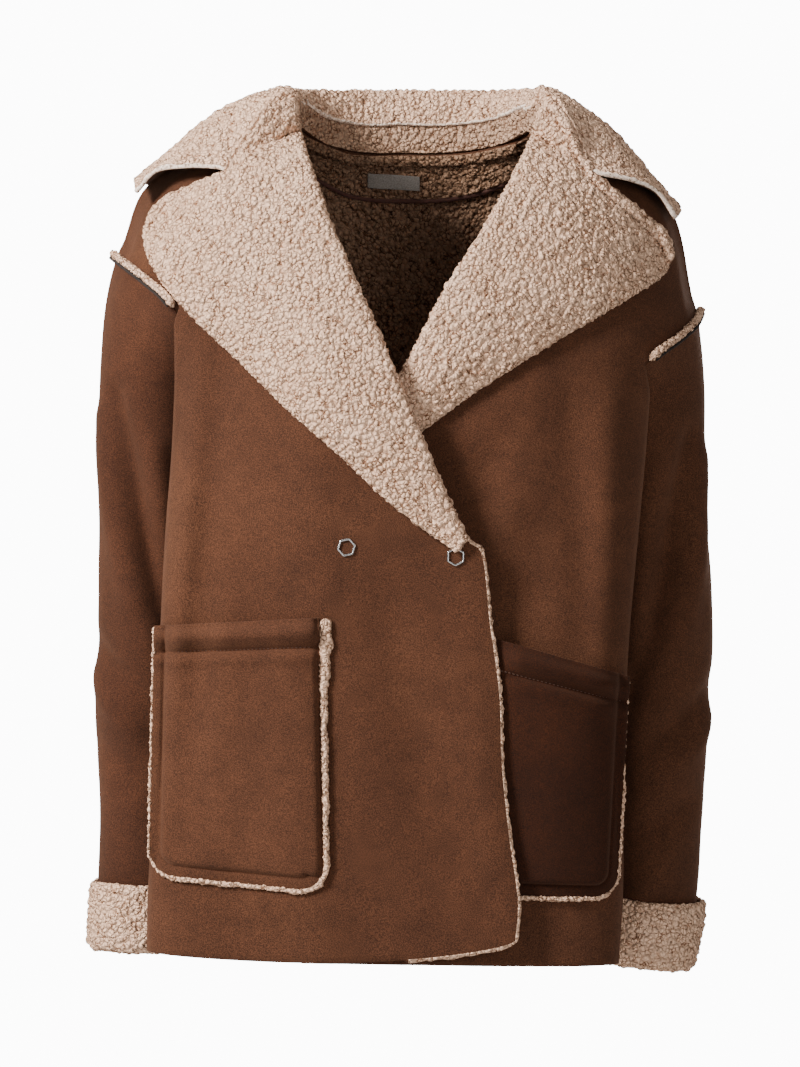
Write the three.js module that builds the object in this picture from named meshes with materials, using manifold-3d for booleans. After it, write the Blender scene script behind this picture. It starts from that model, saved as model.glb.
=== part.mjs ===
// A hip-length double-breasted coat of bonded faux suede and pile, standing open as if worn.
// Millimetres, +Z up. The front faces -Y and the wearer's left is +X.
// The origin is on the centre plane at the height where the neck holds the coat.
import * as THREE from 'three';
import Module from 'manifold-3d';
import { mergeVertices } from 'three/addons/utils/BufferGeometryUtils.js';

// ---- Driving sizes ----
const CLOTH = 3.0;            // wall of the bonded cloth
const CUFF_CLOTH = 4.0;       // wall of a turned-back pile cuff
const FACING_CLOTH = 2.0;     // wall of the back neck facing
const TAPE = 1.2;             // wall of the binding tape
const LABEL = 1.0;            // wall of the neck label
const SEAM_GAP = 0.3;         // space left between pieces that are sewn together
const RIDGE_Y = 4;            // depth at which the shoulder seams run
const FRONT_DEPTH = 152;      // from the shoulder ridge forward to the fullest front
const BACK_DEPTH = 112;       // from the shoulder ridge back to the fullest back
const DEPTH_RATE = 62;        // how far below the shoulder line the chest fills out
const EDGE_POWER = 3.5;       // how square the coat is across
const ROLL = 5.5;             // radius of the lapel's roll
const LAPEL_EDGE_LIFT = 6;    // lapel's middle line to the front's middle line at its edge
const LAPEL_PUFF = 5;         // extra stand-off in the middle of the lapel
const NECK_STAND = 48;        // lapels never sink further back than this near the neck

// ---- Tables: one row for each section ----
// Rows run from the hem (0) to the shoulder seam (16). "inner" is the free edge, then the lapel's
// roll line, then the neck seam. "fold" is the drape fold beside the sleeve, and "side" is the side
// seam, then the armhole.
const RIGHT_ROWS = [
  { innerX: 99, innerZ: -723, foldX: -220, foldZ: -737, sideX: -157, sideY: 5, sideZ: -744 },
  { innerX: 101, innerZ: -688, foldX: -219, foldZ: -690, sideX: -156, sideY: 5, sideZ: -692 },
  { innerX: 93, innerZ: -630, foldX: -216, foldZ: -630, sideX: -154, sideY: 5, sideZ: -632 },
  { innerX: 87, innerZ: -570, foldX: -213, foldZ: -570, sideX: -153, sideY: 5, sideZ: -572 },
  { innerX: 85, innerZ: -510, foldX: -211, foldZ: -510, sideX: -152, sideY: 5, sideZ: -512 },
  { innerX: 77, innerZ: -450, foldX: -208, foldZ: -450, sideX: -151, sideY: 5, sideZ: -452 },
  { innerX: 70.5, innerZ: -392, foldX: -206, foldZ: -404, sideX: -150, sideY: 5, sideZ: -408 },
  { innerX: 57, innerZ: -377, foldX: -204, foldZ: -368, sideX: -150, sideY: 5, sideZ: -374 },
  { innerX: 33, innerZ: -326, foldX: -201, foldZ: -325, sideX: -151, sideY: 5, sideZ: -336 },
  { innerX: 8, innerZ: -267, foldX: -198.5, foldZ: -282, sideX: -154, sideY: 4, sideZ: -298 },
  { innerX: -17, innerZ: -206, foldX: -197, foldZ: -242, sideX: -160, sideY: 0, sideZ: -264 },
  { innerX: -42, innerZ: -149, foldX: -197, foldZ: -211, sideX: -167, sideY: -46, sideZ: -237 },
  { innerX: -62, innerZ: -101, foldX: -197, foldZ: -188, sideX: -182, sideY: -74, sideZ: -205 },
  { innerX: -77, innerZ: -57, foldX: -192, foldZ: -165, sideX: -199, sideY: null, sideZ: -172 },
  { innerX: -89, innerZ: -20, foldX: -214, foldZ: -143, sideX: -221, sideY: null, sideZ: -151 },
  { innerX: -91, innerZ: -13, foldX: -235, foldZ: -121, sideX: -241, sideY: null, sideZ: -135 },
  { innerX: -91, innerZ: -8, foldX: -247, foldZ: -109, sideX: -254, sideY: 4, sideZ: -124 },
];
const LEFT_ROWS = [
  { innerX: -85, innerZ: -744, foldX: 189, foldZ: -748, sideX: 158, sideY: 5, sideZ: -752 },
  { innerX: -86, innerZ: -690, foldX: 193, foldZ: -692, sideX: 156, sideY: 5, sideZ: -694 },
  { innerX: -86, innerZ: -630, foldX: 193.5, foldZ: -632, sideX: 154, sideY: 5, sideZ: -634 },
  { innerX: -84, innerZ: -570, foldX: 194.5, foldZ: -572, sideX: 153, sideY: 5, sideZ: -574 },
  { innerX: -82, innerZ: -510, foldX: 196, foldZ: -512, sideX: 152, sideY: 5, sideZ: -516 },
  { innerX: -78, innerZ: -440, foldX: 200, foldZ: -450, sideX: 151, sideY: 5, sideZ: -458 },
  { innerX: -66, innerZ: -345, foldX: 207, foldZ: -376, sideX: 151, sideY: 5, sideZ: -400 },
  { innerX: -54, innerZ: -327, foldX: 210, foldZ: -346, sideX: 153, sideY: 5, sideZ: -372 },
  { innerX: -36, innerZ: -299, foldX: 213, foldZ: -320, sideX: 156, sideY: 5, sideZ: -346 },
  { innerX: -12, innerZ: -260, foldX: 215.5, foldZ: -295, sideX: 160, sideY: 4, sideZ: -322 },
  { innerX: 12, innerZ: -217, foldX: 217.5, foldZ: -270, sideX: 167, sideY: 0, sideZ: -302 },
  { innerX: 41, innerZ: -160, foldX: 218.5, foldZ: -248, sideX: 178, sideY: -46, sideZ: -275 },
  { innerX: 72, innerZ: -111, foldX: 215.5, foldZ: -231, sideX: 198, sideY: -74, sideZ: -246 },
  { innerX: 97, innerZ: -66, foldX: 214, foldZ: -208, sideX: 219.5, sideY: null, sideZ: -218 },
  { innerX: 117, innerZ: -23, foldX: 233, foldZ: -189, sideX: 239, sideY: null, sideZ: -203 },
  { innerX: 119, innerZ: -17, foldX: 252, foldZ: -170, sideX: 257, sideY: null, sideZ: -187 },
  { innerX: 118, innerZ: -12, foldX: 261.5, foldZ: -158, sideX: 266, sideY: 4, sideZ: -173 },
];
const LAST = RIGHT_ROWS.length - 1;
const BREAK = 7;               // row where the lapel starts to turn
const NECK = 14;               // row where the roll line meets the neck seam
const UNDERARM = 10;

// The back's own fold beside the sleeve, and its half of the armhole.
const BACK_ROWS = [
  { centreZ: -748, rightX: -212, leftX: 200, rightSideY: 5, leftSideY: 5 },
  { centreZ: -692, rightX: -211, leftX: 202, rightSideY: 5, leftSideY: 5 },
  { centreZ: -632, rightX: -210, leftX: 203, rightSideY: 5, leftSideY: 5 },
  { centreZ: -572, rightX: -209, leftX: 204, rightSideY: 5, leftSideY: 5 },
  { centreZ: -512, rightX: -207, leftX: 205, rightSideY: 5, leftSideY: 5 },
  { centreZ: -452, rightX: -205, leftX: 207, rightSideY: 5, leftSideY: 5 },
  { centreZ: -398, rightX: -203, leftX: 209, rightSideY: 5, leftSideY: 5 },
  { centreZ: -362, rightX: -201, leftX: 211, rightSideY: 5, leftSideY: 5 },
  { centreZ: -320, rightX: -199, leftX: 213, rightSideY: 5, leftSideY: 5 },
  { centreZ: -276, rightX: -195, leftX: 211, rightSideY: 4, leftSideY: 4 },
  { centreZ: -236, rightX: -191, leftX: 209, rightSideY: 0, leftSideY: 0 },
  { centreZ: -196, rightX: -187, leftX: 205, rightSideY: 40, leftSideY: 40 },
  { centreZ: -156, rightX: -186, leftX: 205, rightSideY: 62, leftSideY: 62 },
  { centreZ: -116, rightX: -192, leftX: 212, rightSideY: null, leftSideY: null },
  { centreZ: -80, rightX: -218, leftX: 236, rightSideY: null, leftSideY: null },
  { centreZ: -50, rightX: -236, leftX: 253, rightSideY: null, leftSideY: null },
  { centreZ: -26, rightX: -247, leftX: 261.5, rightSideY: 4, leftSideY: 4 },
];

// Shoulder seam from the neck out to 94 hundredths of its length, and the line it would keep if it
// went on straight.
const RIGHT_RIDGE = [{ x: -91, z: -8 }, { x: -150, z: -21 }, { x: -195, z: -38 }, { x: -231, z: -66 },
  { x: -247, z: -109 }];
const LEFT_RIDGE = [{ x: 118, z: -12 }, { x: 160, z: -25 }, { x: 208, z: -47 }, { x: 245, z: -85 },
  { x: 261.5, z: -158 }];
const RIGHT_SLOPE = [{ x: 0, z: 18 }, { x: 40, z: 12 }, { x: 70, z: -2 }, { x: 91, z: -8 },
  { x: 150, z: -21 }, { x: 195, z: -37 }, { x: 231, z: -56 }, { x: 262, z: -74 }];
const LEFT_SLOPE = [{ x: 0, z: 18 }, { x: 50, z: 12 }, { x: 92, z: -5 }, { x: 118, z: -12 },
  { x: 160, z: -25 }, { x: 208, z: -45 }, { x: 245, z: -66 }, { x: 275, z: -88 }];
const BACK_NECK = [{ x: 0, z: -26 }, { x: 0.35, z: -26 }, { x: 0.7, z: -21 }, { x: 0.92, z: -13 },
  { x: 1, z: -8 }];

// Half-widths at which the coat turns away from the front and from the back. "turn" is the share of
// the depth that has gone by then: 1 over the rounded shoulders and less beside the drape folds.
const GIRTH = [
  { z: -760, right: 221, left: 189.5, backRight: 213, backLeft: 201, turn: 0.3 },
  { z: -690, right: 219.5, left: 193.5, backRight: 212, backLeft: 203, turn: 0.3 },
  { z: -560, right: 213, left: 195, backRight: 209.5, backLeft: 205, turn: 0.3 },
  { z: -431, right: 207.5, left: 202.5, backRight: 205, backLeft: 209, turn: 0.3 },
  { z: -352, right: 203, left: 210, backRight: 201.5, backLeft: 212.5, turn: 0.33 },
  { z: -300, right: 201, left: 216, backRight: 202, backLeft: 218, turn: 0.46 },
  { z: -262, right: 206, left: 223, backRight: 206, backLeft: 225, turn: 0.56 },
  { z: -230, right: 219, left: 240, backRight: 219, backLeft: 240, turn: 0.75 },
  { z: -200, right: 240, left: 262, backRight: 240, backLeft: 262, turn: 0.92 },
  { z: -172, right: 257, left: 266, backRight: 257, backLeft: 266, turn: 1 },
  { z: -150, right: 256, left: 261, backRight: 256, backLeft: 261, turn: 1 },
  { z: -124, right: 254, left: 256, backRight: 254, backLeft: 256, turn: 1 },
  { z: -95, right: 243, left: 250, backRight: 243, backLeft: 250, turn: 1 },
  { z: -66, right: 236, left: 245, backRight: 236, backLeft: 245, turn: 1 },
  { z: 40, right: 236, left: 245, backRight: 236, backLeft: 245, turn: 1 },
];

// How far the right front stands in front of the left one where they lap.
const LAP = [{ z: -750, out: 16 }, { z: -450, out: 16 }, { z: -345, out: 19 }, { z: -240, out: 20 },
  { z: -150, out: 9 }, { z: -100, out: 2.5 }, { z: -60, out: 0 }, { z: -40, out: 0 }, { z: 40, out: 0 }];
const LAP_FROM = -150;
const LAP_FULL = -62;

// Outer edges of the lapels, row by row from the break to the point of the lapel.
const RIGHT_LAPEL_EDGE = [{ x: 49, z: -386.5 }, { x: -2, z: -349 }, { x: -55, z: -300 },
  { x: -102, z: -258 }, { x: -140, z: -220 }, { x: -173, z: -189 }, { x: -200, z: -160 },
  { x: -216, z: -137 }, { x: -223, z: -120 }, { x: -226, z: -105 }];
const LEFT_LAPEL_EDGE = [{ x: -50, z: -334 }, { x: -22, z: -313 }, { x: 15, z: -285 },
  { x: 52, z: -257 }, { x: 104, z: -223 }, { x: 156, z: -191 }, { x: 199, z: -165 },
  { x: 226, z: -147 }, { x: 236, z: -136 }, { x: 241, z: -122 }];
// The roll line goes on above the neck seam, up to the top of the collar.
const RIGHT_ROLL_TOP = [{ x: -92, z: -2, y: -45 }, { x: -90, z: 16, y: -42 }];
const LEFT_ROLL_TOP = [{ x: 123, z: -4, y: -44 }, { x: 129, z: 14, y: -40 }];
// Gorge seam from the roll line to the notch, then the lapel's top edge out to its point.
const RIGHT_GORGE = [{ x: -106, z: 7 }, { x: -121, z: -10 }, { x: -141, z: -38 }, { x: -150, z: -54 },
  { x: -175, z: -63 }, { x: -200, z: -73 }, { x: -218, z: -87 }, { x: -226, z: -105 }];
const LEFT_GORGE = [{ x: 136, z: 7 }, { x: 146, z: -10 }, { x: 157, z: -36 }, { x: 165, z: -54 },
  { x: 187, z: -71 }, { x: 213, z: -90 }, { x: 234, z: -106 }, { x: 241, z: -122 }];
const GORGE_SEAM = 4;          // steps of the gorge that are sewn to the collar

// Front edge of the collar from the notch to its point.
const RIGHT_LEAF = [{ x: -163, y: -70, z: -51 }, { x: -190, y: -62, z: -50 },
  { x: -216, y: -50, z: -53 }, { x: -233, y: -42, z: -70 }];
const LEFT_LEAF = [{ x: 180, y: -70, z: -58 }, { x: 204, y: -62, z: -62 }, { x: 227, y: -50, z: -71 },
  { x: 243, y: -42, z: -93 }];
// Collar sections from the right front, round the back of the neck, to the left front.
const COLLAR_ROWS = [
  { at: 1, rollX: -102, rollY: -20, rollZ: 25,
    fallX: -158, fallY: -30, fallZ: 1, edgeX: -236, edgeY: -20, edgeZ: -60 },
  { at: 2, rollX: -101, rollY: 8, rollZ: 26,
    fallX: -158, fallY: 10, fallZ: 5, edgeX: -235, edgeY: 6, edgeZ: -54 },
  { at: 4, rollX: -75, rollY: 57, rollZ: 30,
    fallX: -128, fallY: 78, fallZ: 3, edgeX: -186, edgeY: 88, edgeZ: -66 },
  { at: 7, rollX: 0, rollY: 80, rollZ: 33,
    fallX: 0, fallY: 106, fallZ: 2, edgeX: 0, edgeY: 124, edgeZ: -78 },
  { at: 10, rollX: 91, rollY: 57, rollZ: 30,
    fallX: 144, fallY: 78, fallZ: 0, edgeX: 201, edgeY: 88, edgeZ: -76 },
  { at: 12, rollX: 128, rollY: 8, rollZ: 26,
    fallX: 182, fallY: 10, fallZ: -6, edgeX: 247, edgeY: 6, edgeZ: -76 },
  { at: 13, rollX: 129, rollY: -20, rollZ: 25,
    fallX: 180, fallY: -30, fallZ: -10, edgeX: 249, edgeY: -20, edgeZ: -86 },
];

const RIGHT_SLEEVE = [
  { z: -312, outer: -269, inner: -171, front: -52, back: 50 },
  { z: -380, outer: -270, inner: -169, front: -54, back: 50 },
  { z: -451, outer: -270, inner: -168, front: -55, back: 52 },
  { z: -541, outer: -272, inner: -170, front: -54, back: 47 },
  { z: -613, outer: -269, inner: -171, front: -53, back: 42 },
  { z: -690, outer: -270, inner: -173, front: -52, back: 38 },
  { z: -740, outer: -272, inner: -175, front: -50, back: 36 },
];
const LEFT_SLEEVE = [
  { z: -350, outer: 273, inner: 177, front: -52, back: 50 },
  { z: -415, outer: 278, inner: 176, front: -54, back: 50 },
  { z: -487, outer: 278, inner: 176, front: -55, back: 52 },
  { z: -559, outer: 275, inner: 176, front: -54, back: 47 },
  { z: -613, outer: 272, inner: 176, front: -53, back: 43 },
  { z: -700, outer: 265, inner: 177, front: -52, back: 38 },
  { z: -754, outer: 257, inner: 177, front: -50, back: 36 },
];
const CAP_STEPS = 4;           // rings between the armhole and the first sleeve section
const SLEEVE_SHIFT = 0.8;      // how far the sleeve is moved off the armhole, outward and down
// A cuff's section: distance outside the sleeve's middle line, and height over the sleeve's end.
const CUFF_ROWS = [{ out: 4.4, up: 53 }, { out: 6.5, up: 35 }, { out: 6.5, up: 11 }, { out: 4.6, up: -1 },
  { out: 0.5, up: -4.2 }];
// The left sleeve's end is lower outside and higher inside, by this much below these heights.
const LEFT_CUFF_TILT = 4.5;
const TILT_FROM = -610;
const TILT_FULL = -700;

// Patch pockets by their four corners, on the front they are sewn to.
const RIGHT_POCKET = { innerTop: { x: -70, z: -446 }, outerTop: { x: -213, z: -454 },
  innerBottom: { x: -65, z: -680 }, outerBottom: { x: -218, z: -668 } };
const LEFT_POCKET = { innerTop: { x: 74, z: -462 }, outerTop: { x: 199, z: -498 },
  innerBottom: { x: 70, z: -684 }, outerBottom: { x: 188, z: -688 } };
const POCKET_SEAT = 3.5;       // pocket's middle line to the front's at its sewn edges
const POCKET_BAG = 12;         // the same in the middle of the open top
const POCKET_EDGE_CLOTH = 4;

const SNAP = { across: 15.5, wire: 2, thick: 2 };
const SNAPS = [
  { name: 'upper_snap', x: -46, z: -385, turn: 0.2 },
  { name: 'lower_snap', x: 48, z: -393, turn: 0.5 },
];

const SUEDE = new THREE.MeshStandardMaterial({ color: 0x5f3a25, roughness: 0.92, metalness: 0 });
const PILE = new THREE.MeshStandardMaterial({ color: 0xd3b8a3, roughness: 1, metalness: 0 });
const TAPE_CLOTH = new THREE.MeshStandardMaterial({ color: 0x3a1c14, roughness: 0.8, metalness: 0 });
const SATIN = new THREE.MeshStandardMaterial({ color: 0xc9c4be, roughness: 0.45, metalness: 0 });
const STEEL = new THREE.MeshStandardMaterial({ color: 0xc8c8c8, roughness: 0.25, metalness: 1 });

// ---- Small tools ----
const vec = (x, y, z) => new THREE.Vector3(x, y, z);
const mix = (a, b, t) => a + (b - a) * t;
const clamp01 = (t) => Math.min(1, Math.max(0, t));
const ease = (t) => clamp01(t) * clamp01(t) * (3 - 2 * clamp01(t));
const steps = (count) => Array.from({ length: count + 1 }, (_, i) => i / count);

// A smooth curve through one column of a table; the key column rises from row to row.
function column(rows, key, at, name) {
  const last = rows.length - 1;
  let i = 0;
  while (i < last - 1 && at > rows[i + 1][key]) i += 1;
  const slope = (k) => {
    const a = rows[Math.max(0, k - 1)];
    const b = rows[Math.min(last, k + 1)];
    return (b[name] - a[name]) / (b[key] - a[key]);
  };
  const span = rows[i + 1][key] - rows[i][key];
  const t = clamp01((at - rows[i][key]) / span);
  const rise = rows[i + 1][name] - rows[i][name];
  const bend = t * (1 - t) * ((1 - t) * (slope(i) * span - rise) + t * (rise - slope(i + 1) * span));
  return rows[i][name] + rise * t + bend;
}

// The same, with the row number as the key.
const numbered = (rows) => rows.map((row, index) => ({ ...row, index }));
const pick = (rows, at, name) => column(rows, 'index', at, name);

// A curve through x and z rows by its share of the length.
function measured(rows) {
  let run = 0;
  const out = rows.map((row, i) => {
    if (i > 0) run += Math.hypot(row.x - rows[i - 1].x, row.z - rows[i - 1].z);
    return { ...row, run };
  });
  return out.map((row) => ({ ...row, run: row.run / run }));
}
const onCurve = (rows, t, name) => column(rows, 'run', t, name);

// ---- The form the cloth hangs in ----
const slopeZ = (x) => column(x < 0 ? RIGHT_SLOPE : LEFT_SLOPE, 'x', Math.abs(x), 'z');

function fill(x, z, depth, rightWidth, leftWidth) {
  const below = Math.max(0, slopeZ(x) - z);
  const width = column(GIRTH, 'z', z, x < 0 ? rightWidth : leftWidth);
  const turn = column(GIRTH, 'z', z, 'turn');
  const across = Math.min(1, Math.abs(x) / width);
  const share = 1 - turn + turn * Math.sqrt(1 - across ** EDGE_POWER);
  return depth * share * (1 - Math.exp(-((below / DEPTH_RATE) ** 0.6)));
}

const leftFrontY = (x, z) => RIDGE_Y - fill(x, z, FRONT_DEPTH, 'right', 'left');
const backY = (x, z) => RIDGE_Y + fill(x, z, BACK_DEPTH, 'backRight', 'backLeft');
const rightFrontY = (x, z) => {
  const lap = column(LAP, 'z', z, 'out') * ease((x - LAP_FROM) / (LAP_FULL - LAP_FROM));
  return leftFrontY(x, z) - lap;
};

const RIGHT = { sign: -1, rows: numbered(RIGHT_ROWS), ridge: measured(RIGHT_RIDGE), y: rightFrontY,
  backX: 'rightX', backSideY: 'rightSideY', edge: numbered(RIGHT_LAPEL_EDGE), top: RIGHT_ROLL_TOP,
  gorge: RIGHT_GORGE, leaf: RIGHT_LEAF, hemSag: 12.5 };
const LEFT = { sign: 1, rows: numbered(LEFT_ROWS), ridge: measured(LEFT_RIDGE), y: leftFrontY,
  backX: 'leftX', backSideY: 'leftSideY', edge: numbered(LEFT_LAPEL_EDGE), top: LEFT_ROLL_TOP,
  gorge: LEFT_GORGE, leaf: LEFT_LEAF, hemSag: 0 };
const BACK = numbered(BACK_ROWS);

const PANEL_STEPS = 7;         // columns between the inner edge and the drape fold
const TURN_STEPS = 4;          // columns round the drape fold to the side seam
const ROLL_STEPS = 4;          // columns round the lapel's roll
const LAPEL_STEPS = GORGE_SEAM * 2;
const NECK_STEPS = 5;          // columns of the back from its centre to the shoulder seam
const TURN_START = 0.07;       // how far a turn keeps the panel's direction, as a share of its chord
const TURN_END = 0.7;          // how far it comes in along the side's direction
const NECK_SHARE = 0.44;       // how far across the back the neck's columns reach in plain rows
const BACK_FOLD_LOW = 0.5;     // how far the back's fold is from the front's height to the side's
const BACK_FOLD_HIGH = 0.3;    // the same above the underarm
const fan = (t) => 1 - (1 - t) ** 1.25;

// How much a row follows the shoulder's curve instead of running straight.
const shoulderShare = (v) => ease((v - UNDERARM - 1) / (LAST - UNDERARM - 1));

// Where the roll line is, and the direction in which the roll leaves the front.
function rollPoint(side, v) {
  const over = v - NECK;
  if (over <= 0) {
    const x = pick(side.rows, v, 'innerX');
    const z = pick(side.rows, v, 'innerZ');
    return vec(x, side.y(x, z), z);
  }
  const top = side.top[Math.round(over) - 1];
  return vec(top.x, top.y, top.z);
}
function rollOut(side, v) {
  const a = rollPoint(side, Math.max(BREAK, v - 1));
  const b = rollPoint(side, Math.min(LAST, v + 1));
  return vec(b.z - a.z, 0, a.x - b.x).normalize().multiplyScalar(-side.sign);
}
const rollRadius = (v) => mix(4.2, ROLL, ease((v - BREAK) / 2));

// The innermost point of the front's own surface in a row.
function innerPoint(side, v) {
  const p = v <= NECK ? rollPoint(side, v)
    : vec(pick(side.rows, v, 'innerX'), 0, pick(side.rows, v, 'innerZ'));
  if (v >= BREAK && v <= NECK) p.addScaledVector(rollOut(side, v), -rollRadius(v));
  p.y = side.y(p.x, p.z);
  return p;
}

// A turn from the end of a row of points, round to a side point.
function roundTurn(points, side, sideWay, count) {
  const end = points[points.length - 1];
  const way = end.clone().sub(points[points.length - 2]).normalize();
  const reach = end.distanceTo(side);
  const a = end.clone().addScaledVector(way, reach * TURN_START);
  const b = side.clone().addScaledVector(sideWay, -reach * TURN_END);
  const curve = new THREE.CubicBezierCurve3(end, a, b, side);
  return steps(count).slice(1).map((t) => curve.getPoint(t));
}

// The way the cloth is going when it reaches the side: straight back below the arm, and along the
// panel over the shoulder.
function sideWay(from, side, v, deep) {
  const along = side.clone().sub(from).normalize();
  return vec(0, deep, 0).lerp(along, ease((v - UNDERARM) / 3)).normalize();
}

// A side point's depth is given, or is null where the point lies on the panel's own surface.
function frontSidePoint(side, v) {
  const row = side.rows[v];
  return vec(row.sideX, row.sideY ?? leftFrontY(row.sideX, row.sideZ), row.sideZ);
}
function backSidePoint(side, v) {
  const row = side.rows[v];
  return vec(row.sideX, BACK[v][side.backSideY] ?? backY(row.sideX, row.sideZ), row.sideZ);
}

// The hem hangs lowest nearer the front edge than the fold.
const hemShape = (t) => Math.sin(Math.PI * t ** 0.75) ** 0.8;

// One row of a front: from its inner edge to the fold, then round to the side seam.
function frontRow(side, v) {
  const start = innerPoint(side, v);
  const foldX = side.rows[v].foldX;
  const foldZ = side.rows[v].foldZ;
  const first = side.ridge[0];
  const last = side.ridge[side.ridge.length - 1];
  const points = steps(PANEL_STEPS).map((step) => {
    const t = fan(step);
    const k = shoulderShare(v);
    const x = mix(start.x, foldX, t) + k * (onCurve(side.ridge, t, 'x') - mix(first.x, last.x, t));
    const sag = v === 0 ? side.hemSag * hemShape(t) : 0;
    const z = mix(start.z, foldZ, t) + k * (onCurve(side.ridge, t, 'z') - mix(first.z, last.z, t)) - sag;
    return vec(x, v === LAST ? RIDGE_Y : side.y(x, z), z);
  });
  const end = frontSidePoint(side, v);
  return points.concat(roundTurn(points, end, sideWay(points[PANEL_STEPS], end, v, 1), TURN_STEPS));
}

// Half a row of the back: from its centre, past the shoulder's neck point, to the side seam.
function backHalfRow(side, v) {
  const row = BACK[v];
  const k = shoulderShare(v);
  const foldX = row[side.backX];
  const lower = v > UNDERARM ? BACK_FOLD_HIGH : BACK_FOLD_LOW;
  const foldZ = mix(mix(side.rows[v].foldZ, side.rows[v].sideZ, lower), side.rows[v].foldZ, k);
  const ridgeStart = side.ridge[0];
  const ridgeEnd = side.ridge[side.ridge.length - 1];
  const neckX = mix(foldX * NECK_SHARE, ridgeStart.x, k);
  const neckZ = mix(mix(row.centreZ, foldZ, NECK_SHARE), ridgeStart.z, k);
  const neckLow = BACK_NECK[0].z;
  const neckTall = BACK_NECK[BACK_NECK.length - 1].z - neckLow;
  const neck = steps(NECK_STEPS).map((t) => {
    const curved = mix(neckLow, ridgeStart.z, (column(BACK_NECK, 'x', t, 'z') - neckLow) / neckTall);
    const z = mix(mix(row.centreZ, neckZ, t), curved, k);
    return vec(neckX * t, 0, z);
  });
  const shoulder = steps(PANEL_STEPS).slice(1).map((step) => {
    const t = fan(step);
    const bowX = onCurve(side.ridge, t, 'x') - mix(ridgeStart.x, ridgeEnd.x, t);
    const bowZ = onCurve(side.ridge, t, 'z') - mix(ridgeStart.z, ridgeEnd.z, t);
    return vec(mix(neckX, foldX, t) + k * bowX, 0, mix(neckZ, foldZ, t) + k * bowZ);
  });
  const points = neck.concat(shoulder);
  points.forEach((p, i) => {
    p.y = v === LAST && i > NECK_STEPS ? RIDGE_Y : backY(p.x, p.z);
  });
  const end = backSidePoint(side, v);
  const from = points[points.length - 1];
  return points.concat(roundTurn(points, end, sideWay(from, end, v, -1), TURN_STEPS));
}

const backRow = (v) => backHalfRow(RIGHT, v).reverse().concat(backHalfRow(LEFT, v).slice(1));

// One row of a lapel: round the roll and out to the edge. The last row is the gorge.
function lapelRow(side, v) {
  const roll = rollPoint(side, v);
  const out = rollOut(side, v);
  const radius = rollRadius(v);
  const centre = roll.clone().addScaledVector(out, -radius);
  const base = v <= NECK ? side.y(centre.x, centre.z) : roll.y;
  const arc = steps(ROLL_STEPS).map((t) => {
    const angle = Math.PI * t;
    const p = centre.clone().addScaledVector(out, radius * Math.sin(angle));
    p.y = base - radius + radius * Math.cos(angle);
    return p;
  });
  const from = arc[ROLL_STEPS];
  const edge = side.edge[v - BREAK];
  const leaf = steps(LAPEL_STEPS).slice(1).map((t, i) => {
    const top = side.gorge[i];
    const end = side.edge[side.edge.length - 1];
    const start = side.top[side.top.length - 1];
    const k = ((v - BREAK) / (LAST - BREAK)) ** 3;
    const x = mix(from.x, edge.x, t) + k * (top.x - mix(start.x, end.x, t));
    const z = mix(from.z, edge.z, t) + k * (top.z - mix(start.z, end.z, t));
    const puff = LAPEL_PUFF * Math.sin(Math.PI * t) * ease((v - BREAK) / 3);
    const lift = mix(2 * radius, LAPEL_EDGE_LIFT, t) + puff;
    return vec(x, Math.min(side.y(x, z), mix(base, -NECK_STAND, Math.min(1, t * 4))) - lift, z);
  });
  return arc.concat(leaf);
}

// ---- Sheets: a middle surface of welded points and triangles ----
const keyOf = (p) => [p.x, p.y, p.z].map((n) => Math.round(n * 1000)).join(',');

class Sheet {
  constructor() {
    this.points = [];
    this.triangles = [];
    this.index = new Map();
  }

  point(p) {
    const key = keyOf(p);
    if (!this.index.has(key)) {
      this.index.set(key, this.points.length);
      this.points.push(p.clone());
    }
    return this.index.get(key);
  }

  // Quads between rows of points. A flipped grid faces the other way.
  grid(rows, flipped = false) {
    for (let i = 0; i + 1 < rows.length; i += 1) {
      for (let j = 0; j + 1 < rows[i].length; j += 1) {
        const a = this.point(rows[i][j]);
        const b = this.point(rows[i][j + 1]);
        const c = this.point(rows[i + 1][j + 1]);
        const d = this.point(rows[i + 1][j]);
        [[a, b, c], [a, c, d]].forEach(([p, q, r]) => {
          if (p === q || q === r || p === r) return;
          this.triangles.push(flipped ? [p, r, q] : [p, q, r]);
        });
      }
    }
    return this;
  }
}

const faceNormal = (sheet, [a, b, c]) => sheet.points[b].clone().sub(sheet.points[a])
  .cross(sheet.points[c].clone().sub(sheet.points[a]));

// Normals that pieces sewn to each other share along their seams.
function sharedNormals(sheets) {
  const sums = new Map();
  sheets.forEach((sheet) => sheet.triangles.forEach((triangle) => {
    const n = faceNormal(sheet, triangle);
    triangle.forEach((i) => {
      const key = keyOf(sheet.points[i]);
      if (!sums.has(key)) sums.set(key, vec(0, 0, 0));
      sums.get(key).add(n);
    });
  }));
  return sums;
}

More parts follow.
